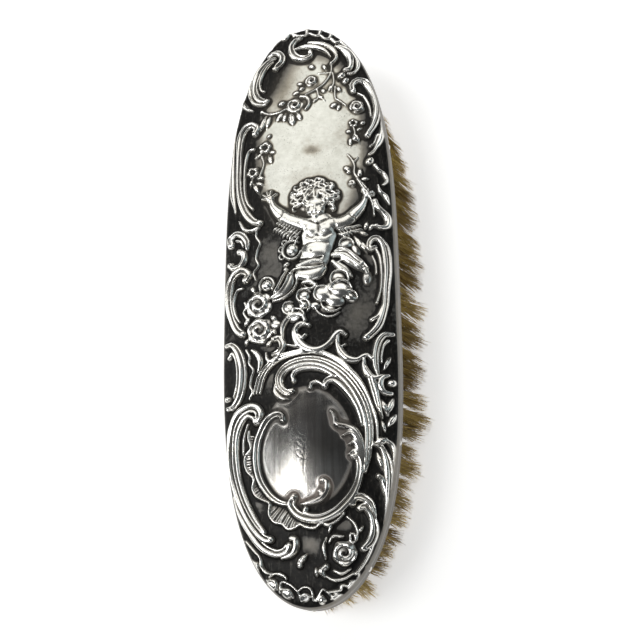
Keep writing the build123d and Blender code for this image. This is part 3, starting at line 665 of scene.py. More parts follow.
SHELL = [(-16.8, -41.4), (-16.9, -43.6), (-16.2, -46.2), (-17.7, -48), (-18, -50.2), (-17.2, -52.6),
    (-15.4, -54.6), (-15.7, -57.2), (-14.6, -59.4), (-12.4, -60.6), (-10.8, -61.6), (-11, -64.2),
    (-9.6, -66.4), (-7.4, -67), (-5.8, -68.4), (-3.8, -68.1), (-2.4, -67.4), (-0.6, -68.2), (1.6, -68.4),
    (3.4, -67.3), (5.6, -67.6), (7.8, -66.6), (9.6, -64.8)]
shell_edge = spline(SHELL)
INNER = spline([(-14.6, -42), (-15, -50), (-13.8, -55.6), (-11.2, -60), (-7.6, -62.6), (-4.4, -63.6),
    (0, -66.8), (4, -66.8), (8.8, -64.4)])
for k in range(62):
    t = 0.03 + 0.94 * k / 61
    a = INNER[int(t * (len(INNER) - 1))]
    b = shell_edge[int(t * (len(shell_edge) - 1))]
    if math.dist(a, b) > 0.9:
        ridge([tuple(a), tuple(b)], (0.22, 0.34), (0.25, 0.62))
ridge(SHELL, 0.38, 0.85)

# ---- lower right
ball(20.2, -45.8, 1.7, 1.1, 1.1, -15)
scroll([(18.2, -46.6), (20, -47.6), (21.3, -50.6), (21.6, -55), (21.2, -60), (20.6, -66), (19.2, -71)],
    (0.5, 0.8, 0.85, 0.8, 0.7, 0.6, 0.3), 1.05, 2)
ridge([(21.4, -45.4), (23, -47.6), (23.2, -52), (22.8, -58)], (0.6, 0.6, 0.5, 0.3), 0.9)
leaf(18.8, -49, 20.6, -54.4, 0.7)
scroll([(19, -55.2), (20.1, -56.4), (20.5, -60)], (0.6, 0.6, 0.3), 0.95, 1, tail=0.75)
scroll([(11.9, -62.2), (12.5, -60.9), (14.5, -60.8), (16.6, -62.4), (17.9, -65.6)],
    (0.8, 0.9, 0.9, 0.8, 0.35), 1.05, 2, tail=1.1)
scroll([(13.8, -63.6), (15.4, -63.4), (17, -66), (17.3, -69.4), (16.3, -72.2), (14.5, -74)],
    (0.7, 0.85, 0.85, 0.85, 0.85, 0.7), 1.1, 2, tail=0.9, head=0.95)
ridge([(10.3, -65.7), (12.1, -67.4), (13, -69.6), (12.8, -71.8)], (0.25, 0.35, 0.35, 0.3), 0.7)
ridge([(11, -70.4), (11.2, -72.2), (12.4, -72), (12.2, -70.4), (11.2, -70.1)], 0.35, 0.85)
leaf(13.4, -69.8, 14.6, -68.2, 0.5)
rose(9.4, -75, 3.6, 1.2, 15, 5)
for path in (
        [(5.4, -72.2), (6.6, -70.7), (9.2, -70.8)], [(4.7, -71), (3.9, -73.4), (4.4, -76.4)],
        [(5.4, -69.6), (5.8, -68.2), (4.4, -67.8)], [(6.4, -79.4), (8.6, -80.2), (11, -79.2)],
        [(4, -80.6), (6.4, -81.8), (9.2, -81.6), (11.6, -80.2)]):
    ridge(path, (0.3, 0.55, 0.3), 0.95)
scroll([(4.4, -78.4), (3.2, -79.4), (4, -80.8)], (0.7, 0.7, 0.4), 1, 1, tail=0.9)
ball(1.8, -79.7, 0.6, 0.9, 1.4, 8)
leaf(-3.2, -77.6, -0.6, -75, 0.9, 0.95)
ball(-2.6, -78, 0.8, 0.95)
leaf(-9.4, -79.4, -6.2, -80.8, 0.6)
ridge([(12, -80.4), (14, -78), (15.8, -75), (17.6, -71)], (0.3, 0.4, 0.4, 0.2), 0.8)

# ---- petals round the lower end
for path in (
        [(-17.6, -71), (-15.4, -73.8), (-13.9, -75.6), (-13.4, -77.8), (-12, -79.5), (-9.8, -79.9)],
        [(-11.2, -80.6), (-9.4, -79.8), (-7.2, -80.2), (-6.4, -81.2)],
        [(-8.2, -84.4), (-8.1, -82.6), (-7.2, -81.9), (-5.2, -82.8), (-3.5, -84.4), (-2.4, -86.8)],
        [(-3.4, -84.5), (-1.8, -83.4), (-0.1, -83.7), (0.6, -85), (0.8, -86.8)],
        [(1.4, -86.9), (2.4, -85.7), (3.4, -84), (4.6, -85), (6.4, -86.4)], [(4.8, -85), (6.4, -84.8),
        (8, -84.3), (8.6, -83.2), (10.4, -83.2), (12.4, -81.6), (12.8, -80.2)]):
    ridge(path, 0.32, 0.8)
for x, y, r, ry, turn in (
        (-6.3, -84.9, 1.9, 1.2, -35), (-1.4, -86.1, 1.6, 1.2, 0), (3, -86.8, 1, 1.1, 0),
        (7, -86, 1.6, 0.9, 15), (-10.4, -82.5, 1.9, 1.3, -40), (11.2, -82.9, 1.5, 1, 35),
        (-15.2, -77.5, 1.9, 1.1, -55), (15.4, -78.8, 1.5, 0.8, 50), (-19, -71.4, 1.8, 0.9, -65)):
    ball(x, y, r, 0.62, ry, turn)
    c, d = math.cos(math.radians(turn)), math.sin(math.radians(turn))
    ridge([(x - 1.05 * r * c, y - 1.05 * r * d), (x - 0.8 * ry * d, y + 0.8 * ry * c),
        (x + 1.05 * r * c, y + 1.05 * r * d)], (0.2, 0.36, 0.2), 0.9)


# ---------------------------------------------------------------- soften the drawing into stamped sheet
def blur(a, sigma):
    """A Gaussian blur, sigma in millimetres."""
    s = sigma * CELLS
    reach = max(1, int(3 * s))
    k = np.exp(-0.5 * (np.arange(-reach, reach + 1) / s) ** 2)
    k /= k.sum()
    for axis in (0, 1):
        pad = [(reach, reach) if axis == n else (0, 0) for n in (0, 1)]
        wide = np.pad(a, pad, mode="edge")
        out = np.zeros_like(a)
        for n, weight in enumerate(k):
            out += weight * (wide[n:n + a.shape[0]] if axis == 0 else wide[:, n:n + a.shape[1]])
        a = out
    return a


def ease(low, high, a):
    """Runs smoothly from 0 where a is low to 1 where it is high."""
    t = np.clip((a - low) / (high - low), 0, 1)
    return t * t * (3 - 2 * t)


PROUD = 1.0  # heights over this are drawn in, so that the putto's head doesn't stand too far out
height = np.where(height > PROUD, PROUD + 0.55 * (height - PROUD), height)
fine = blur(height, 0.09)
close = blur(height, 0.35)
swell = blur(height, 0.9)
relief = RELIEF_GAIN * (0.86 * fine + 0.42 * swell)


# ---------------------------------------------------------------- how dark each place has gone, and where a dark reflection is painted
def glow(x, y, reach_x, reach_y):
    """A soft round patch, 1 in its middle."""
    return np.exp(-(((xs_all - x) / reach_x) ** 2) - ((ys_all - y) / reach_y) ** 2)


def oval(x, y, reach_x, reach_y):
    """Distance from the middle of an oval, 1 on the oval itself."""
    return np.sqrt(((xs_all - x) / reach_x) ** 2 + ((ys_all - y) / reach_y) ** 2)


# the parts of the picture
picture = ease(1.12, 0.80, oval(1.5, 46.0, 17.0, 33.0))
lower_picture = ease(24.0, 12.0, ys_all)
sky = picture * (1 - lower_picture)
mirror = ease(1.02, 0.86, oval(-0.4, -46.5, 13.4, 16.8))
putto = ease(1.1, 0.9, oval(3.0, 13.0, 13.5, 17.0)) * ease(0.55, 0.8, fine)
hair = ease(1.15, 0.95, oval(3.0, 27.4, 7.2, 6.3)) * ease(0.95, 1.15, oval(3.2, 22.6, 3.9, 4.2))

# the flat ground is black, less so in the plain fields and in a few rubbed patches
ground_dark = 1.0 - 0.86 * sky - 0.145 * lower_picture * ease(-26, -16, ys_all)
for x, y, reach_x, reach_y, rubbed in (
        (9.0, -67.5, 3.4, 2.4, 0.34), (0.0, -72.5, 4.5, 3.0, 0.24), (-14.5, -58.0, 2.4, 6.0, 0.30),
        (-10.5, -26.0, 3.0, 6.0, 0.24), (13.5, -10.0, 5.0, 7.0, 0.06), (-10.0, 8.0, 5.0, 8.0, 0.12)):
    ground_dark -= rubbed * glow(x, y, reach_x, reach_y)
ground_dark = np.minimum(ground_dark, 1 - 0.97 * mirror)
flat_dark = ground_dark * (1 - ease(0.06, 0.44, fine))

# the grooves are black, and so is a line round every raised form and every gap in the hair
skirt = blur(np.maximum(fine - 0.45, 0), 0.45)
sprays = blur(np.maximum(fine - 0.42, 0), 0.5) * picture
bare = ease(0.40, 0.50, fine)
line_dark = np.maximum.reduce([
    0.97 * ease(0.02, 0.16, swell - fine),
    0.92 * ease(0.02, 0.10, close - fine),
    0.95 * ease(0.008, 0.055, skirt) * (1 - ease(0.28, 0.52, fine)) * (1 - 0.4 * mirror),
    0.92 * ease(0.006, 0.035, sprays) * (1 - bare),
    0.88 * hair * ease(-0.03, 0.06, close - fine)])
oxide = blur(np.clip(np.maximum(flat_dark, line_dark), 0, 1), 0.07)

# a smudge in the middle of the upper field, and duller places towards its edges
oxide += 0.34 * glow(2.0, 43.2, 2.4, 1.5) + 0.19 * glow(2.4, 43.5, 8.0, 7.0)
oxide += (fine < 0.5) * (0.44 * glow(-8.0, 68.0, 5.0, 7.0) + 0.20 * glow(3.0, 33.5, 9.0, 3.5)
                         + 0.12 * glow(12.0, 52.0, 5.0, 12.0))
for x, y, r in hearts:
    oxide += 0.95 * glow(x, y, r, r)
oxide = np.clip(oxide, 0, 1)
shade = mirror * ease(-54.0, -43.0, ys_all + 0.5 * xs_all)  # painted reflection: the cartouche's top and right are painted dark, for the dark surroundings its polish would mirror there
satin = np.maximum(sky * (1 - bare), 0.30 * putto)


# ---------------------------------------------------------------- the silver back as one closed sheet
def dome_height(x, y):
    """Height of the plain domed back over a point, as the CAD has it."""
    cross = CROSS_RADIUS - np.sqrt(CROSS_RADIUS**2 - x * x)
    end = ALONG_RADIUS - np.sqrt(ALONG_RADIUS**2 - y * y)
    return CROWN_Z - cross - end


def sample(raster, x, y):
    fx = np.clip((x - X0) * CELLS - 0.5, 0, NX - 1.001)
    fy = np.clip((y - Y0) * CELLS - 0.5, 0, NY - 1.001)
    i, j = fx.astype(int), fy.astype(int)
    u, v = fx - i, fy - j
    low = raster[j, i] * (1 - u) + raster[j, i + 1] * u
    high = raster[j + 1, i] * (1 - u) + raster[j + 1, i + 1] * u
    return low * (1 - v) + high * v


ACROSS, LENGTHWAYS = ((281, 961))
CROWDING = 0.13
GROOVE_OXIDE, EDGE_OXIDE, INSIDE_OXIDE = 0.95, 0.62, 0.9


def crowd(t):
    """Draws evenly spaced values in -1..1 closer together towards both ends."""
    return (1 + CROWDING) * t - CROWDING * t**7


p, q = np.meshgrid(crowd(np.linspace(-1, 1, ACROSS)), crowd(np.linspace(-1, 1, LENGTHWAYS)))
disc_x = p * np.sqrt(1 - q * q / 2)
disc_y = q * np.sqrt(1 - p * p / 2)
top_y = disc_y * HALF_LENGTH
top_x = disc_x / np.sqrt(np.maximum(1e-9, 1 - disc_y**2)) * half_width(top_y)
on_edge = np.zeros(top_x.shape, bool)
on_edge[0, :] = on_edge[-1, :] = on_edge[:, 0] = on_edge[:, -1] = True
inward = edge_distance(top_x, top_y)
inward[on_edge] = 0
slope = np.clip(1 - inward / SHOULDER, 0, 1)
drop = SHOULDER * (1 - np.sqrt(np.maximum(0, 1 - slope**2)))
top_z = dome_height(top_x, top_y) - drop
base = np.stack([top_x, top_y, top_z], -1)
du = np.gradient(base, axis=1)
dv = np.gradient(base, axis=0)
normal = np.cross(du, dv)
normal /= np.linalg.norm(normal, axis=-1, keepdims=True) + 1e-12
lift = sample(relief, top_x, top_y) * ease(0.0, 1.2, inward) - RELIEF_SINK * ease(0.0, 2.8, inward)
upright = ease(3.0, 0.6, inward)[..., None]  # by the edge the relief stands straight up, over the rim
stand = normal * (1 - upright) + np.array([0.0, 0.0, 1.0]) * upright
top = base + stand * lift[..., None]
top_oxide = np.maximum(sample(oxide, top_x, top_y) * ease(0.2, 0.8, inward),
                       EDGE_OXIDE * (1 - ease(0.3, 1.3, inward)))

# the edge of the sheet, once round, anticlockwise from the corner at (-1, -1)
loop = np.concatenate([
    np.stack([np.zeros(ACROSS - 1, int), np.arange(ACROSS - 1)], -1),
    np.stack([np.arange(LENGTHWAYS - 1), np.full(LENGTHWAYS - 1, ACROSS - 1)], -1),
    np.stack([np.full(ACROSS - 1, LENGTHWAYS - 1), np.arange(ACROSS - 1, 0, -1)], -1),
    np.stack([np.arange(LENGTHWAYS - 1, 0, -1), np.zeros(LENGTHWAYS - 1, int)], -1)])
loop_index = loop[:, 0] * ACROSS + loop[:, 1]
ring = top[loop[:, 0], loop[:, 1]]
tangent = np.roll(ring, -1, 0) - np.roll(ring, 1, 0)
outward = np.stack([tangent[:, 1], -tangent[:, 0]], -1)
outward /= np.linalg.norm(outward, axis=1, keepdims=True) + 1e-12

# the rim's section below the shoulder, then under it and up inside: how far down towards the rim's edge
# as a share, and how far out
RIM_SECTION = [
    (0.06, 0.0), (0.14, 0.0), (0.20, -0.06), (0.24, -0.17), (0.28, -0.06), (0.33, 0.0), (0.38, 0.02),
    (0.43, 0.0), (0.47, -0.06), (0.51, -0.17), (0.55, -0.06), (0.60, 0.0), (0.66, 0.02), (0.72, 0.0),
    (0.76, -0.06), (0.80, -0.17), (0.84, -0.05), (0.88, 0.02), (0.93, 0.04), (0.97, 0.0), (0.99, -0.06),
    (1.0, -0.15), (1.0, -0.36), (0.99, -0.46), (0.96, -0.5), (0.5, -0.5), (0.2, -0.5), (0.0, -0.55)]
rings = []
for down, out in RIM_SECTION:
    level = ring.copy()
    level[:, :2] += outward * out
    level[:, 2] = ring[:, 2] * (1 - down) + RIM_Z * down
    rings.append(level)
INSIDE_SHARES = (0.97, 0.85, 0.65, 0.4, 0.2)  # the loops under the dome, each drawn in to this share
for share in INSIDE_SHARES:
    level = ring.copy()
    level[:, :2] = (ring[:, :2] - outward * 0.6) * share
    x, y = level[:, 0], level[:, 1]
    slope = np.clip(1 - edge_distance(x, y) / SHOULDER, 0, 1)
    level[:, 2] = dome_height(x, y) - SHOULDER * (1 - np.sqrt(1 - slope**2)) - RELIEF_SINK - SHEET
    rings.append(level)
middle = np.array([[0.0, 0.0, CROWN_Z - RELIEF_SINK - SHEET]])
points = np.concatenate([top.reshape(-1, 3), *rings, middle])

n_top = ACROSS * LENGTHWAYS
n_loop = len(loop)
cell = np.arange(n_top).reshape(LENGTHWAYS, ACROSS)
quads = [np.stack([cell[:-1, :-1], cell[:-1, 1:], cell[1:, 1:], cell[1:, :-1]], -1).reshape(-1, 4)]
loops_of = [loop_index] + [n_top + n_loop * k + np.arange(n_loop) for k in range(len(rings))]
for above, below in zip(loops_of, loops_of[1:]):
    quads.append(np.stack([np.roll(above, -1), above, below, np.roll(below, -1)], -1))
quads = np.concatenate(quads)
last = loops_of[-1]
fan = np.stack([np.roll(last, -1), last, np.full(n_loop, len(points) - 1)], -1)

# the texture layout: the top on the left, and right of it the rim and the inside, in narrow strips
flat_u = 0.01 + 0.78 * (top_x / HALF_WIDTH + 1) / 2
flat_v = 0.01 + 0.98 * (top_y / HALF_LENGTH + 1) / 2
flat = np.stack([flat_u, flat_v], -1).reshape(-1, 2)
turn_v = np.linspace(0.01, 0.99, n_loop + 1)


def strip(corners):
    """Places on the layout for one loop of faces. Each corner: its u, and 1 if it is the face's far end."""
    return np.stack([np.stack([np.full(n_loop, u), turn_v[far:n_loop + far]], -1) for u, far in corners], 1)


face_uv = [flat[quads[:(ACROSS - 1) * (LENGTHWAYS - 1)]].reshape(-1, 2)]
for k in range(len(rings)):
    u0, u1 = (0.80 + 0.19 * (k + j) / (len(loops_of) - 1) for j in (0.02, 0.98))
    face_uv.append(strip([(u0, 1), (u0, 0), (u1, 0), (u1, 1)]).reshape(-1, 2))
face_uv.append(strip([(0.991, 1), (0.991, 0), (0.998, 0)]).reshape(-1, 2))


def new_mesh(name, verts_mm, faces4, faces3=np.zeros((0, 3), int)):
    """A smooth mesh object from arrays: vertices in millimetres, four-cornered faces, three-cornered ones."""
    mesh = bpy.data.meshes.new(name)
    mesh.vertices.add(len(verts_mm))
    mesh.vertices.foreach_set("co", (np.asarray(verts_mm) * MM).astype(np.float32).ravel())
    corners = np.concatenate([faces4.ravel(), faces3.ravel()]).astype(np.int32)
    mesh.loops.add(len(corners))
    mesh.loops.foreach_set("vertex_index", corners)
    sizes = np.concatenate([np.full(len(faces4), 4), np.full(len(faces3), 3)]).astype(np.int32)
    mesh.polygons.add(len(sizes))
    mesh.polygons.foreach_set("loop_start", (np.cumsum(sizes) - sizes).astype(np.int32))
    mesh.polygons.foreach_set("use_smooth", np.full(len(sizes), True))
    mesh.update()
    mesh.validate()
    obj = bpy.data.objects.new(name, mesh)
    bpy.context.scene.collection.objects.link(obj)
    return obj


def paint(obj, name, values):
    """Stores one number per vertex, for a material to read."""
    layer = obj.data.attributes.new(name, "FLOAT", "POINT")
    layer.data.foreach_set("value", np.asarray(values, np.float32))


silver = new_mesh("silver_relief", points, quads, fan)
n_rest = len(points) - n_top
rim_oxide = [np.full(n_loop, GROOVE_OXIDE if out < -0.1 else EDGE_OXIDE) for _, out in RIM_SECTION]
inside_oxide = [np.full(n_loop * len(INSIDE_SHARES) + 1, INSIDE_OXIDE)]
paint(silver, "oxide", np.concatenate([top_oxide.ravel()] + rim_oxide + inside_oxide))
for name, raster in (("satin", satin), ("mirror", mirror), ("shade", shade)):
    paint(silver, name, np.concatenate([sample(raster, top_x, top_y).ravel(), np.zeros(n_rest)]))
layout = silver.data.uv_layers.new(name="OFBake")
layout.data.foreach_set("uv", np.concatenate(face_uv).astype(np.float32).ravel())


# ---------------------------------------------------------------- materials
class Paint:
    """A procedural material: a few short words for the nodes used below."""

    def __init__(self, name):
        self.material = bpy.data.materials.new(name)
        self.material.use_nodes = True
        self.tree = self.material.node_tree
        self.shader = self.tree.nodes["Principled BSDF"]
        self.where = self.tree.nodes.new("ShaderNodeTexCoord").outputs["Object"]

    def plug(self, socket, value):
        """Links another node's output to a socket, or else sets the socket to a number or a colour."""
        if isinstance(value, bpy.types.NodeSocket):
            self.tree.links.new(value, socket)
        else:
            socket.default_value = value

    def node(self, kind, **inputs):
        made = self.tree.nodes.new(kind)
        for key, value in inputs.items():
            self.plug(made.inputs[key.replace("_", " ")], value)
        return made

    def feed(self, socket, value):
        self.plug(self.shader.inputs[socket], value)

    def stretched(self, x, y, z, turn=(0, 0, 0)):
        """The object's own coordinates, scaled: a large number makes a pattern fine along that axis."""
        made = self.node("ShaderNodeMapping", Vector=self.where, Scale=(x, y, z), Rotation=turn)
        return made.outputs["Vector"]

    def noise(self, vector, scale, detail=4.0, rough=0.55):
        made = self.node("ShaderNodeTexNoise", Vector=vector, Scale=scale, Detail=detail, Roughness=rough)
        return made.outputs["Fac"]

    def spots(self, vector, scale):
        return self.node("ShaderNodeTexVoronoi", Vector=vector, Scale=scale).outputs["Distance"]

    def ramp(self, value, stops):
        made = self.node("ShaderNodeValToRGB", Fac=value)
        ends = made.color_ramp.elements
        while len(ends) < len(stops):
            ends.new(0.5)
        for end, (at, colour) in zip(ends, stops):
            end.position = at
            end.color = (*colour, 1)
        return made.outputs["Color"]

    def span(self, value, low, high, to_low=0.0, to_high=1.0):
        made = self.node("ShaderNodeMapRange", Value=value, From_Min=low, From_Max=high,
                         To_Min=to_low, To_Max=to_high)
        return made.outputs["Result"]

    def math(self, operation, a, b):
        made = self.tree.nodes.new("ShaderNodeMath")
        made.operation = operation
        for k, value in enumerate((a, b)):
            self.plug(made.inputs[k], value)
        return made.outputs["Value"]

    def add(self, a, b):
        return self.math("ADD", a, b)

    def minus(self, a, b):
        return self.math("SUBTRACT", a, b)

    def times(self, a, b):
        return self.math("MULTIPLY", a, b)

    def mix(self, share, a, b):
        """Colour a turning into b as share goes from 0 to 1."""
        made = self.tree.nodes.new("ShaderNodeMix")
        made.data_type = "RGBA"
        self.plug(made.inputs[0], share)
        for k, colour in ((6, a), (7, b)):
            self.plug(made.inputs[k], (*colour, 1) if isinstance(colour, tuple) else colour)
        return made.outputs[2]

    def attribute(self, name):
        made = self.tree.nodes.new("ShaderNodeAttribute")
        made.attribute_name = name
        return made.outputs["Fac"]

    def bump(self, height_socket, distance, strength=1.0, under=None):
        made = self.node("ShaderNodeBump", Height=height_socket, Distance=distance, Strength=strength)
        if under is not None:
            self.tree.links.new(under, made.inputs["Normal"])
        return made.outputs["Normal"]


def silver_paint():
    m = Paint("tarnished_silver")
    plain = m.stretched(1, 1, 1)
    stain = m.noise(plain, 90, 5)
    grime = m.noise(plain, 900, 3)
    satin = m.attribute("satin")
    mirror = m.attribute("mirror")
    # tarnish: the painted depth, broken up by fine grime and by broad stains
    broken = m.add(m.attribute("oxide"), m.times(m.minus(grime, 0.5), 0.25))
    broken = m.add(broken, m.times(m.minus(stain, 0.5), 0.45))
    dark = m.span(broken, 0.14, 0.87)
    # bare metal, black grime with rubbed streaks, and brown where the one turns into the other
    clean = m.ramp(stain, [(0.30, (0.74, 0.715, 0.655)), (0.52, (0.87, 0.86, 0.82)),
                           (0.75, (0.93, 0.925, 0.90))])
    sooty = m.ramp(grime, [(0.3, (0.003, 0.003, 0.003)), (0.62, (0.012, 0.011, 0.0095)),
                           (0.78, (0.05, 0.046, 0.04))])
    brown = m.ramp(grime, [(0.3, (0.062, 0.047, 0.030)), (0.7, (0.16, 0.130, 0.092))])
    rubbed = m.noise(m.stretched(1500, 260, 1500, (0, 0, 0.25)), 1.0, 4, 0.7)
    sooty = m.mix(m.span(rubbed, 0.56, 0.74, 0.0, 0.55), sooty, (0.11, 0.105, 0.092))
    half_way = m.span(m.math("ABSOLUTE", m.minus(dark, 0.55), 0.0), 0.0, 0.42, 0.75, 0.0)
    colour = m.mix(dark, clean, sooty)
    colour = m.mix(m.times(half_way, m.minus(1.0, m.math("MAXIMUM", satin, mirror))), colour, brown)
    # the satin field: mottled, tan and then dark where it is tarnished, with fine pits, thicker in places
    mottle = m.span(m.noise(plain, 420, 5, 0.7), 0.35, 0.7)
    field_colour = m.mix(mottle, (0.64, 0.645, 0.575), (0.83, 0.835, 0.77))
    field_colour = m.mix(m.span(dark, 0.03, 0.38, 0.0, 0.7), field_colour, (0.40, 0.33, 0.225))
    field_colour = m.mix(m.span(dark, 0.22, 1.0, 0.0, 0.94), field_colour, (0.045, 0.041, 0.035))
    colour = m.mix(m.times(satin, 0.85), colour, field_colour)
    specks = m.span(m.spots(plain, 1500), 0.14, 0.30, 1.0, 0.0)
    pits = m.times(m.times(specks, m.span(m.noise(plain, 230, 3), 0.42, 0.62)), satin)
    colour = m.mix(m.times(pits, 0.45), colour, (0.10, 0.09, 0.07))
    # the polished cartouche: rubbed lengthways in streaks, with a faint warm bloom, and a dark reflection
    # painted over its top and right
    streak = m.span(m.noise(m.stretched(620, 16, 1, (0, 0, 0.06)), 1.0, 4, 0.6), 0.40, 0.66)
    colour = m.mix(m.times(m.times(streak, mirror), 0.5), colour, (0.30, 0.275, 0.25))
    bloom = m.times(m.span(m.noise(plain, 55, 2), 0.45, 0.62), mirror)
    colour = m.mix(m.times(bloom, 0.22), colour, (0.55, 0.44, 0.37))
    # painted reflection: the cartouche's top and right turn near black, where a polished plate would mirror
    # dark surroundings
    colour = m.mix(m.times(m.attribute("shade"), 0.62), colour, (0.10, 0.094, 0.086))
    m.feed("Base Color", colour)
    m.feed("Metallic", m.span(dark, 0.0, 1.0, 1.0, 0.35))
    m.feed("Specular IOR Level", 0.22)
    # fine scratches two ways
    scratch = m.noise(m.stretched(40, 900, 900, (0, 0, 0.5)), 5, 3, 0.7)
    scratch_b = m.noise(m.stretched(900, 60, 900, (0, 0, -0.3)), 5, 3, 0.7)
    worn = m.add(m.times(scratch, 0.08), m.times(scratch_b, 0.08))
    rough = m.add(m.times(dark, 0.26), m.times(satin, 0.22))
    rough = m.add(rough, m.times(m.minus(1.0, mirror), 0.05))
    m.feed("Roughness", m.add(m.add(rough, worn), 0.07))
    skin = m.bump(m.noise(plain, 260, 3), 0.00002, 0.35)
    skin = m.bump(m.add(scratch, scratch_b), 0.000004, 0.5, skin)
    m.feed("Normal", m.bump(m.minus(1.0, pits), 0.00004, 0.6, skin))
    return m.material


def mottled_paint(name, pattern, dark, light, rough, metallic, skin, depth, strength):
    """Blotches of two colours and two roughnesses. pattern and skin are a noise's scale and detail."""
    m = Paint(name)
    blotches = m.noise(m.where, *pattern)
    m.feed("Base Color", m.ramp(blotches, [(0.3, dark), (0.7, light)]))
    m.feed("Metallic", metallic)
    m.feed("Roughness", m.span(blotches, 0.3, 0.7, *rough))
    m.feed("Normal", m.bump(m.noise(m.where, *skin) if skin else blotches, depth, strength))
    return m.material


def wood_paint(name, light, dark, rough):
    """Wood with its grain, pores and broad figure along Y."""
    m = Paint(name)
    grain = m.noise(m.stretched(900, 26, 900), 1.0, 6, 0.65)
    figure = m.noise(m.stretched(160, 9, 160), 1.0, 3)
    pores = m.span(m.noise(m.stretched(2600, 120, 2600), 1.0, 2), 0.60, 0.70)
    both = m.add(m.times(grain, 0.65), m.times(figure, 0.35))
    colour = m.ramp(both, [(0.34, dark), (0.62, light)])
    colour = m.mix(m.times(pores, 0.6), colour, tuple(0.35 * c for c in dark))
    m.feed("Base Color", colour)
    m.feed("Roughness", m.span(both, 0.3, 0.7, rough + 0.12, rough - 0.05))
    m.feed("Normal", m.bump(m.minus(both, m.times(pores, 0.6)), 0.00005, 0.5))
    return m.material


def bristle_paint():
    m = Paint("hog_bristle")
    tone = m.attribute("tone")
    streak = m.noise(m.stretched(1800, 1800, 120), 1.0, 3)
    mixed = m.add(m.times(tone, 0.75), m.times(streak, 0.25))
    colour = m.ramp(mixed, [(0.12, (0.15, 0.082, 0.010)), (0.45, (0.37, 0.235, 0.030)),
                            (0.85, (0.64, 0.46, 0.11))])
    colour = m.mix(m.span(m.attribute("length"), 0.0, 0.45, 0.5, 0.0), colour, (0.07, 0.045, 0.012))
    m.feed("Base Color", colour)
    m.feed("Roughness", m.span(tone, 0.0, 1.0, 0.62, 0.44))
    m.feed("Specular IOR Level", 0.35)
    m.feed("Normal", m.bump(streak, 0.00003, 0.5))
    return m.material


def wear(obj, material):
    obj.data.materials.clear()
    obj.data.materials.append(material)


def stand_for(obj, node):
    """Puts a piece in the place of a CAD node."""
    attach(obj, "root")
    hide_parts(node)


wear(silver, silver_paint())
stand_for(silver, "silver_back")

brass = mottled_paint("drawn_brass", (700, 4), (0.36, 0.25, 0.10), (0.76, 0.58, 0.28), (0.42, 0.22),
                      1.0, (4000, 2), 0.00001, 0.5)
pin_silver = mottled_paint("pin_silver", (1500, 4), (0.42, 0.40, 0.36), (0.80, 0.79, 0.76), (0.34, 0.18),
                           1.0, (3000, 3), 0.00002, 0.5)
cement = mottled_paint("shellac_cement", (300, 5), (0.045, 0.018, 0.008), (0.13, 0.06, 0.028), (0.45, 0.75),
                       0.0, None, 0.0002, 0.6)
wear(nodes["rim_pins"], pin_silver)
wear(nodes["bristle_stock"], wood_paint("stock_wood", (0.085, 0.036, 0.018), (0.022, 0.010, 0.006), 0.38))
wear(nodes["cover_board"], wood_paint("board_wood", (0.42, 0.26, 0.13), (0.24, 0.13, 0.06), 0.6))
wear(nodes["board_screws"], brass)
ROW_NAMES = ["border"] + [str(k) for k in range(1, 8)]
for row in ROW_NAMES:
    wear(nodes[f"draw_wire_{row}"], brass)

# the cement lies under a sheet that is stamped in, so its top is a little lower than the plain dome's
CEMENT_ROOM = 1.7 * MM
CEMENT_INSET = 0.15
bed_mesh = nodes["cement_bed"].data.copy()
bed_mesh.name = "cement_under_relief"
bed = bpy.data.objects.new("cement_under_relief", bed_mesh)
bpy.context.scene.collection.objects.link(bed)
bed_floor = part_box("cement_bed")[0].z
for v in bed_mesh.vertices:
    v.co.x *= 1 - CEMENT_INSET / HALF_WIDTH
    v.co.y *= 1 - CEMENT_INSET / HALF_LENGTH
    if v.co.z > bed_floor + CEMENT_ROOM:
        v.co.z -= CEMENT_ROOM
wear(bed, cement)
stand_for(bed, "cement_bed")

# ---------------------------------------------------------------- bristles
ROW_PITCH = 5.2
TUFT_PITCH = 4.8
BORDER_INSET = 4.6
STRAIGHT_ROWS = 7
SPLAY = 7.6  # how far the border row's tips stand out sideways from their roots
END_SPLAY = 1.5  # and how far lengthways at the two ends
ROOT_R, TIP_R = 1.0, 2.85  # a knot's radius in its hole and at its tips
REACH = 32.2  # no hair stands out sideways further than this
ROOT_DEPTH = 1.5
HAIR_R = (0.085, 0.135)
RINGS_PER_HAIR = 5
SIDES = 3
BORDER_HAIRS, INNER_HAIRS = ((165, 40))  # in each knot
hair_rng = np.random.default_rng(41)


def border_row():
    """The border row's knots, evenly spaced round the outline."""
    fine_turns = np.linspace(0, 1, 4001)
    x, y = outline(fine_turns, BORDER_INSET)
    run = np.concatenate([[0], np.cumsum(np.hypot(np.diff(x), np.diff(y)))])
    count = 4 * round(run[-1] / TUFT_PITCH / 4)
    at = np.interp(run[-1] * np.arange(count) / count, run, fine_turns)
    return list(zip(*outline(at, BORDER_INSET)))


def straight_row(index, border):
    """One straight row's knots, every other row staggered, those too near the border row left out."""
    x = (index - STRAIGHT_ROWS // 2) * ROW_PITCH
    shift = TUFT_PITCH / 2 if (index - STRAIGHT_ROWS // 2) % 2 else 0.0
    reach = int(HALF_LENGTH / TUFT_PITCH)
    out = []
    for k in range(-reach, reach + 1):
        y = k * TUFT_PITCH + shift
        share = (x / (HALF_WIDTH - BORDER_INSET)) ** 2 + (abs(y) / (HALF_LENGTH - BORDER_INSET)) ** END_POWER
        if share < 1 and min(math.dist((x, y), b) for b in border) > 0.85 * TUFT_PITCH:
            out.append((x, y))
    return out


def lean(x, y):
    """How far a knot's tips stand out from its root, across and along."""
    across_share = x / (HALF_WIDTH - BORDER_INSET)
    along_share = y / (HALF_LENGTH - BORDER_INSET)
    return (SPLAY * across_share * abs(across_share),
            END_SPLAY * math.copysign(along_share**6, along_share))


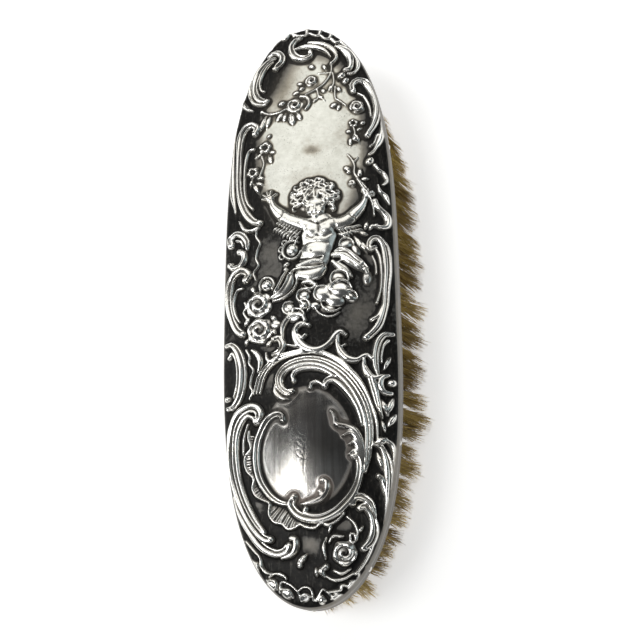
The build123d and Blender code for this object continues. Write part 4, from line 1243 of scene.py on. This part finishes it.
def hair_mesh(name, places, per_knot, wild):
    """One row's bristles: thin tapered hairs, gathered in their hole and opening towards the tips."""
    verts, tones, lengths = [], [], []
    for x, y in places:
        dx, dy = (v * hair_rng.uniform(0.55, 1.0) for v in lean(x, y))
        knot_drift = np.clip(hair_rng.normal(0, 0.9 * wild, 2), (-0.7, -1.4), (0.7, 1.4))
        knot_tone = hair_rng.uniform(0.25, 0.75)
        clumps = np.clip(hair_rng.normal(0, 1.0, (4, 2)), -1.6, 1.6)
        a = hair_rng.uniform(0, 2 * np.pi, per_knot)
        r = np.sqrt(hair_rng.uniform(0, 1, per_knot))
        spread = np.stack([r * np.cos(a), r * np.sin(a)], -1)
        which = clumps[hair_rng.integers(0, len(clumps), per_knot)]
        root = (x, y) + ROOT_R * spread
        tip = (x + dx, y + dy) + TIP_R * spread
        tip += knot_drift + 0.5 * wild * which + hair_rng.normal(0, 0.4 * wild, (per_knot, 2))
        tip[:, 0] = np.clip(tip[:, 0], -REACH, REACH)
        tip_z = np.abs(hair_rng.normal(0, 0.55, per_knot)) + hair_rng.exponential(0.35, per_knot) + 0.05
        bend = hair_rng.normal(0, 0.35 * wild, (per_knot, 2))
        thick = hair_rng.uniform(*HAIR_R, per_knot)
        tone = np.clip(knot_tone + hair_rng.normal(0, 0.2, per_knot), 0, 1)
        for t in np.linspace(0, 1, RINGS_PER_HAIR):
            opened = t**1.25
            middle = root * (1 - opened) + tip * opened + bend * (0.8 * np.sin(np.pi * t))
            z = (STOCK_Z + ROOT_DEPTH) * (1 - t) + tip_z * t
            radius = thick * (1 - 0.62 * t**2)
            for k in range(SIDES):
                b = 2 * np.pi * k / SIDES
                x_side, y_side = radius * math.cos(b), radius * math.sin(b)
                verts.append(np.stack([middle[:, 0] + x_side, middle[:, 1] + y_side, z], -1))
                tones.append(tone)
                lengths.append(np.full(per_knot, t))
    per_hair = RINGS_PER_HAIR * SIDES

    def by_hair(values):
        """Reorders values listed ring by ring for a whole knot, so that each hair's come together."""
        return np.array(values).reshape(len(places), per_hair, per_knot, -1).transpose(0, 2, 1, 3)

    start = np.arange(len(places) * per_knot)[:, None] * per_hair
    sides = []
    for level in range(RINGS_PER_HAIR - 1):
        low, high = level * SIDES, (level + 1) * SIDES
        for k in range(SIDES):
            n = (k + 1) % SIDES
            sides.append(start + np.array([[low + n, low + k, high + k, high + n]]))
    top_ring = (RINGS_PER_HAIR - 1) * SIDES
    ends = [start + np.array([[0, 1, 2]]), start + np.array([[top_ring + 2, top_ring + 1, top_ring]])]
    obj = new_mesh(name, by_hair(verts).reshape(-1, 3), np.concatenate(sides), np.concatenate(ends))
    paint(obj, "tone", by_hair(tones).ravel())
    paint(obj, "length", by_hair(lengths).ravel())
    return obj


bristle = bristle_paint()
border = border_row()
rows = [border] + [straight_row(k, border) for k in range(STRAIGHT_ROWS)]
for row, places in zip(ROW_NAMES, rows):
    per_knot, wild = (BORDER_HAIRS, 1.0) if row == "border" else (INNER_HAIRS, 0.6)
    hairs = hair_mesh(f"bristles_{row}", places, per_knot, wild)
    wear(hairs, bristle)
    stand_for(hairs, f"bristle_row_{row}")


# ---------------------------------------------------------------- floor, lights, camera
def floor_paint():
    m = Paint("pale_floor")
    m.feed("Base Color", (0.86, 0.86, 0.85, 1))
    m.feed("Emission Color", (1.0, 1.0, 1.0, 1))
    m.feed("Emission Strength", 0.55)
    m.feed("Roughness", 0.7)
    m.feed("Specular IOR Level", 0.2)
    return m.material


FLOOR_HALF = 2.0
floor_corners = np.array([[-1, -1, 0], [1, -1, 0], [1, 1, 0], [-1, 1, 0]]) * FLOOR_HALF / MM
floor = new_mesh("floor", floor_corners, np.array([[0, 1, 2, 3]]))
wear(floor, floor_paint())


def area_light(name, place, size, brightness, aim=(0, 0, 0.02), tint=(1, 1, 1)):
    """A soft rectangular lamp. brightness is what a mirror shows of it, whatever its size."""
    lamp = bpy.data.lights.new(name, "AREA")
    lamp.shape = "RECTANGLE"
    lamp.size, lamp.size_y = size
    lamp.energy = brightness * math.pi * size[0] * size[1]
    lamp.color = tint
    obj = bpy.data.objects.new(name, lamp)
    obj.location = place
    obj.rotation_euler = (Vector(aim) - Vector(place)).to_track_quat("-Z", "Y").to_euler()
    bpy.context.scene.collection.objects.link(obj)


area_light("panel_far", (-0.10, 1.00, 1.20), (1.8, 1.25), 1.35, tint=(1.0, 0.985, 0.955))
area_light("panel_left", (-1.20, 0.10, 0.60), (0.8, 1.6), 1.7)
area_light("window", (-0.44, -0.19, 1.15), (0.40, 0.38), 9.0)
area_light("panel_right", (1.20, 0.20, 0.60), (0.5, 1.4), 0.5, tint=(0.80, 0.95, 1.0))
area_light("panel_near", (0.10, -1.30, 0.80), (1.4, 0.5), 1.1)

world = bpy.data.worlds.new("studio")
world.use_nodes = True
sky_light = world.node_tree.nodes["Background"].inputs
sky_light["Color"].default_value = (0.9, 0.95, 1.0, 1)
sky_light["Strength"].default_value = 0.06
bpy.context.scene.world = world

CAMERA_PLACE = (0.05431, -0.10075, 0.290)
CAMERA_TURN = (0.3299, 0.1987, -0.0122)
camera_data = bpy.data.cameras.new("camera")
camera_data.sensor_width = 36.0
camera_data.lens = 55.07
camera_data.clip_start = 0.01
camera = bpy.data.objects.new("camera", camera_data)
camera.location = CAMERA_PLACE
camera.rotation_euler = CAMERA_TURN
bpy.context.scene.collection.objects.link(camera)
bpy.context.scene.camera = camera
bpy.context.scene.view_settings.view_transform = "Standard"
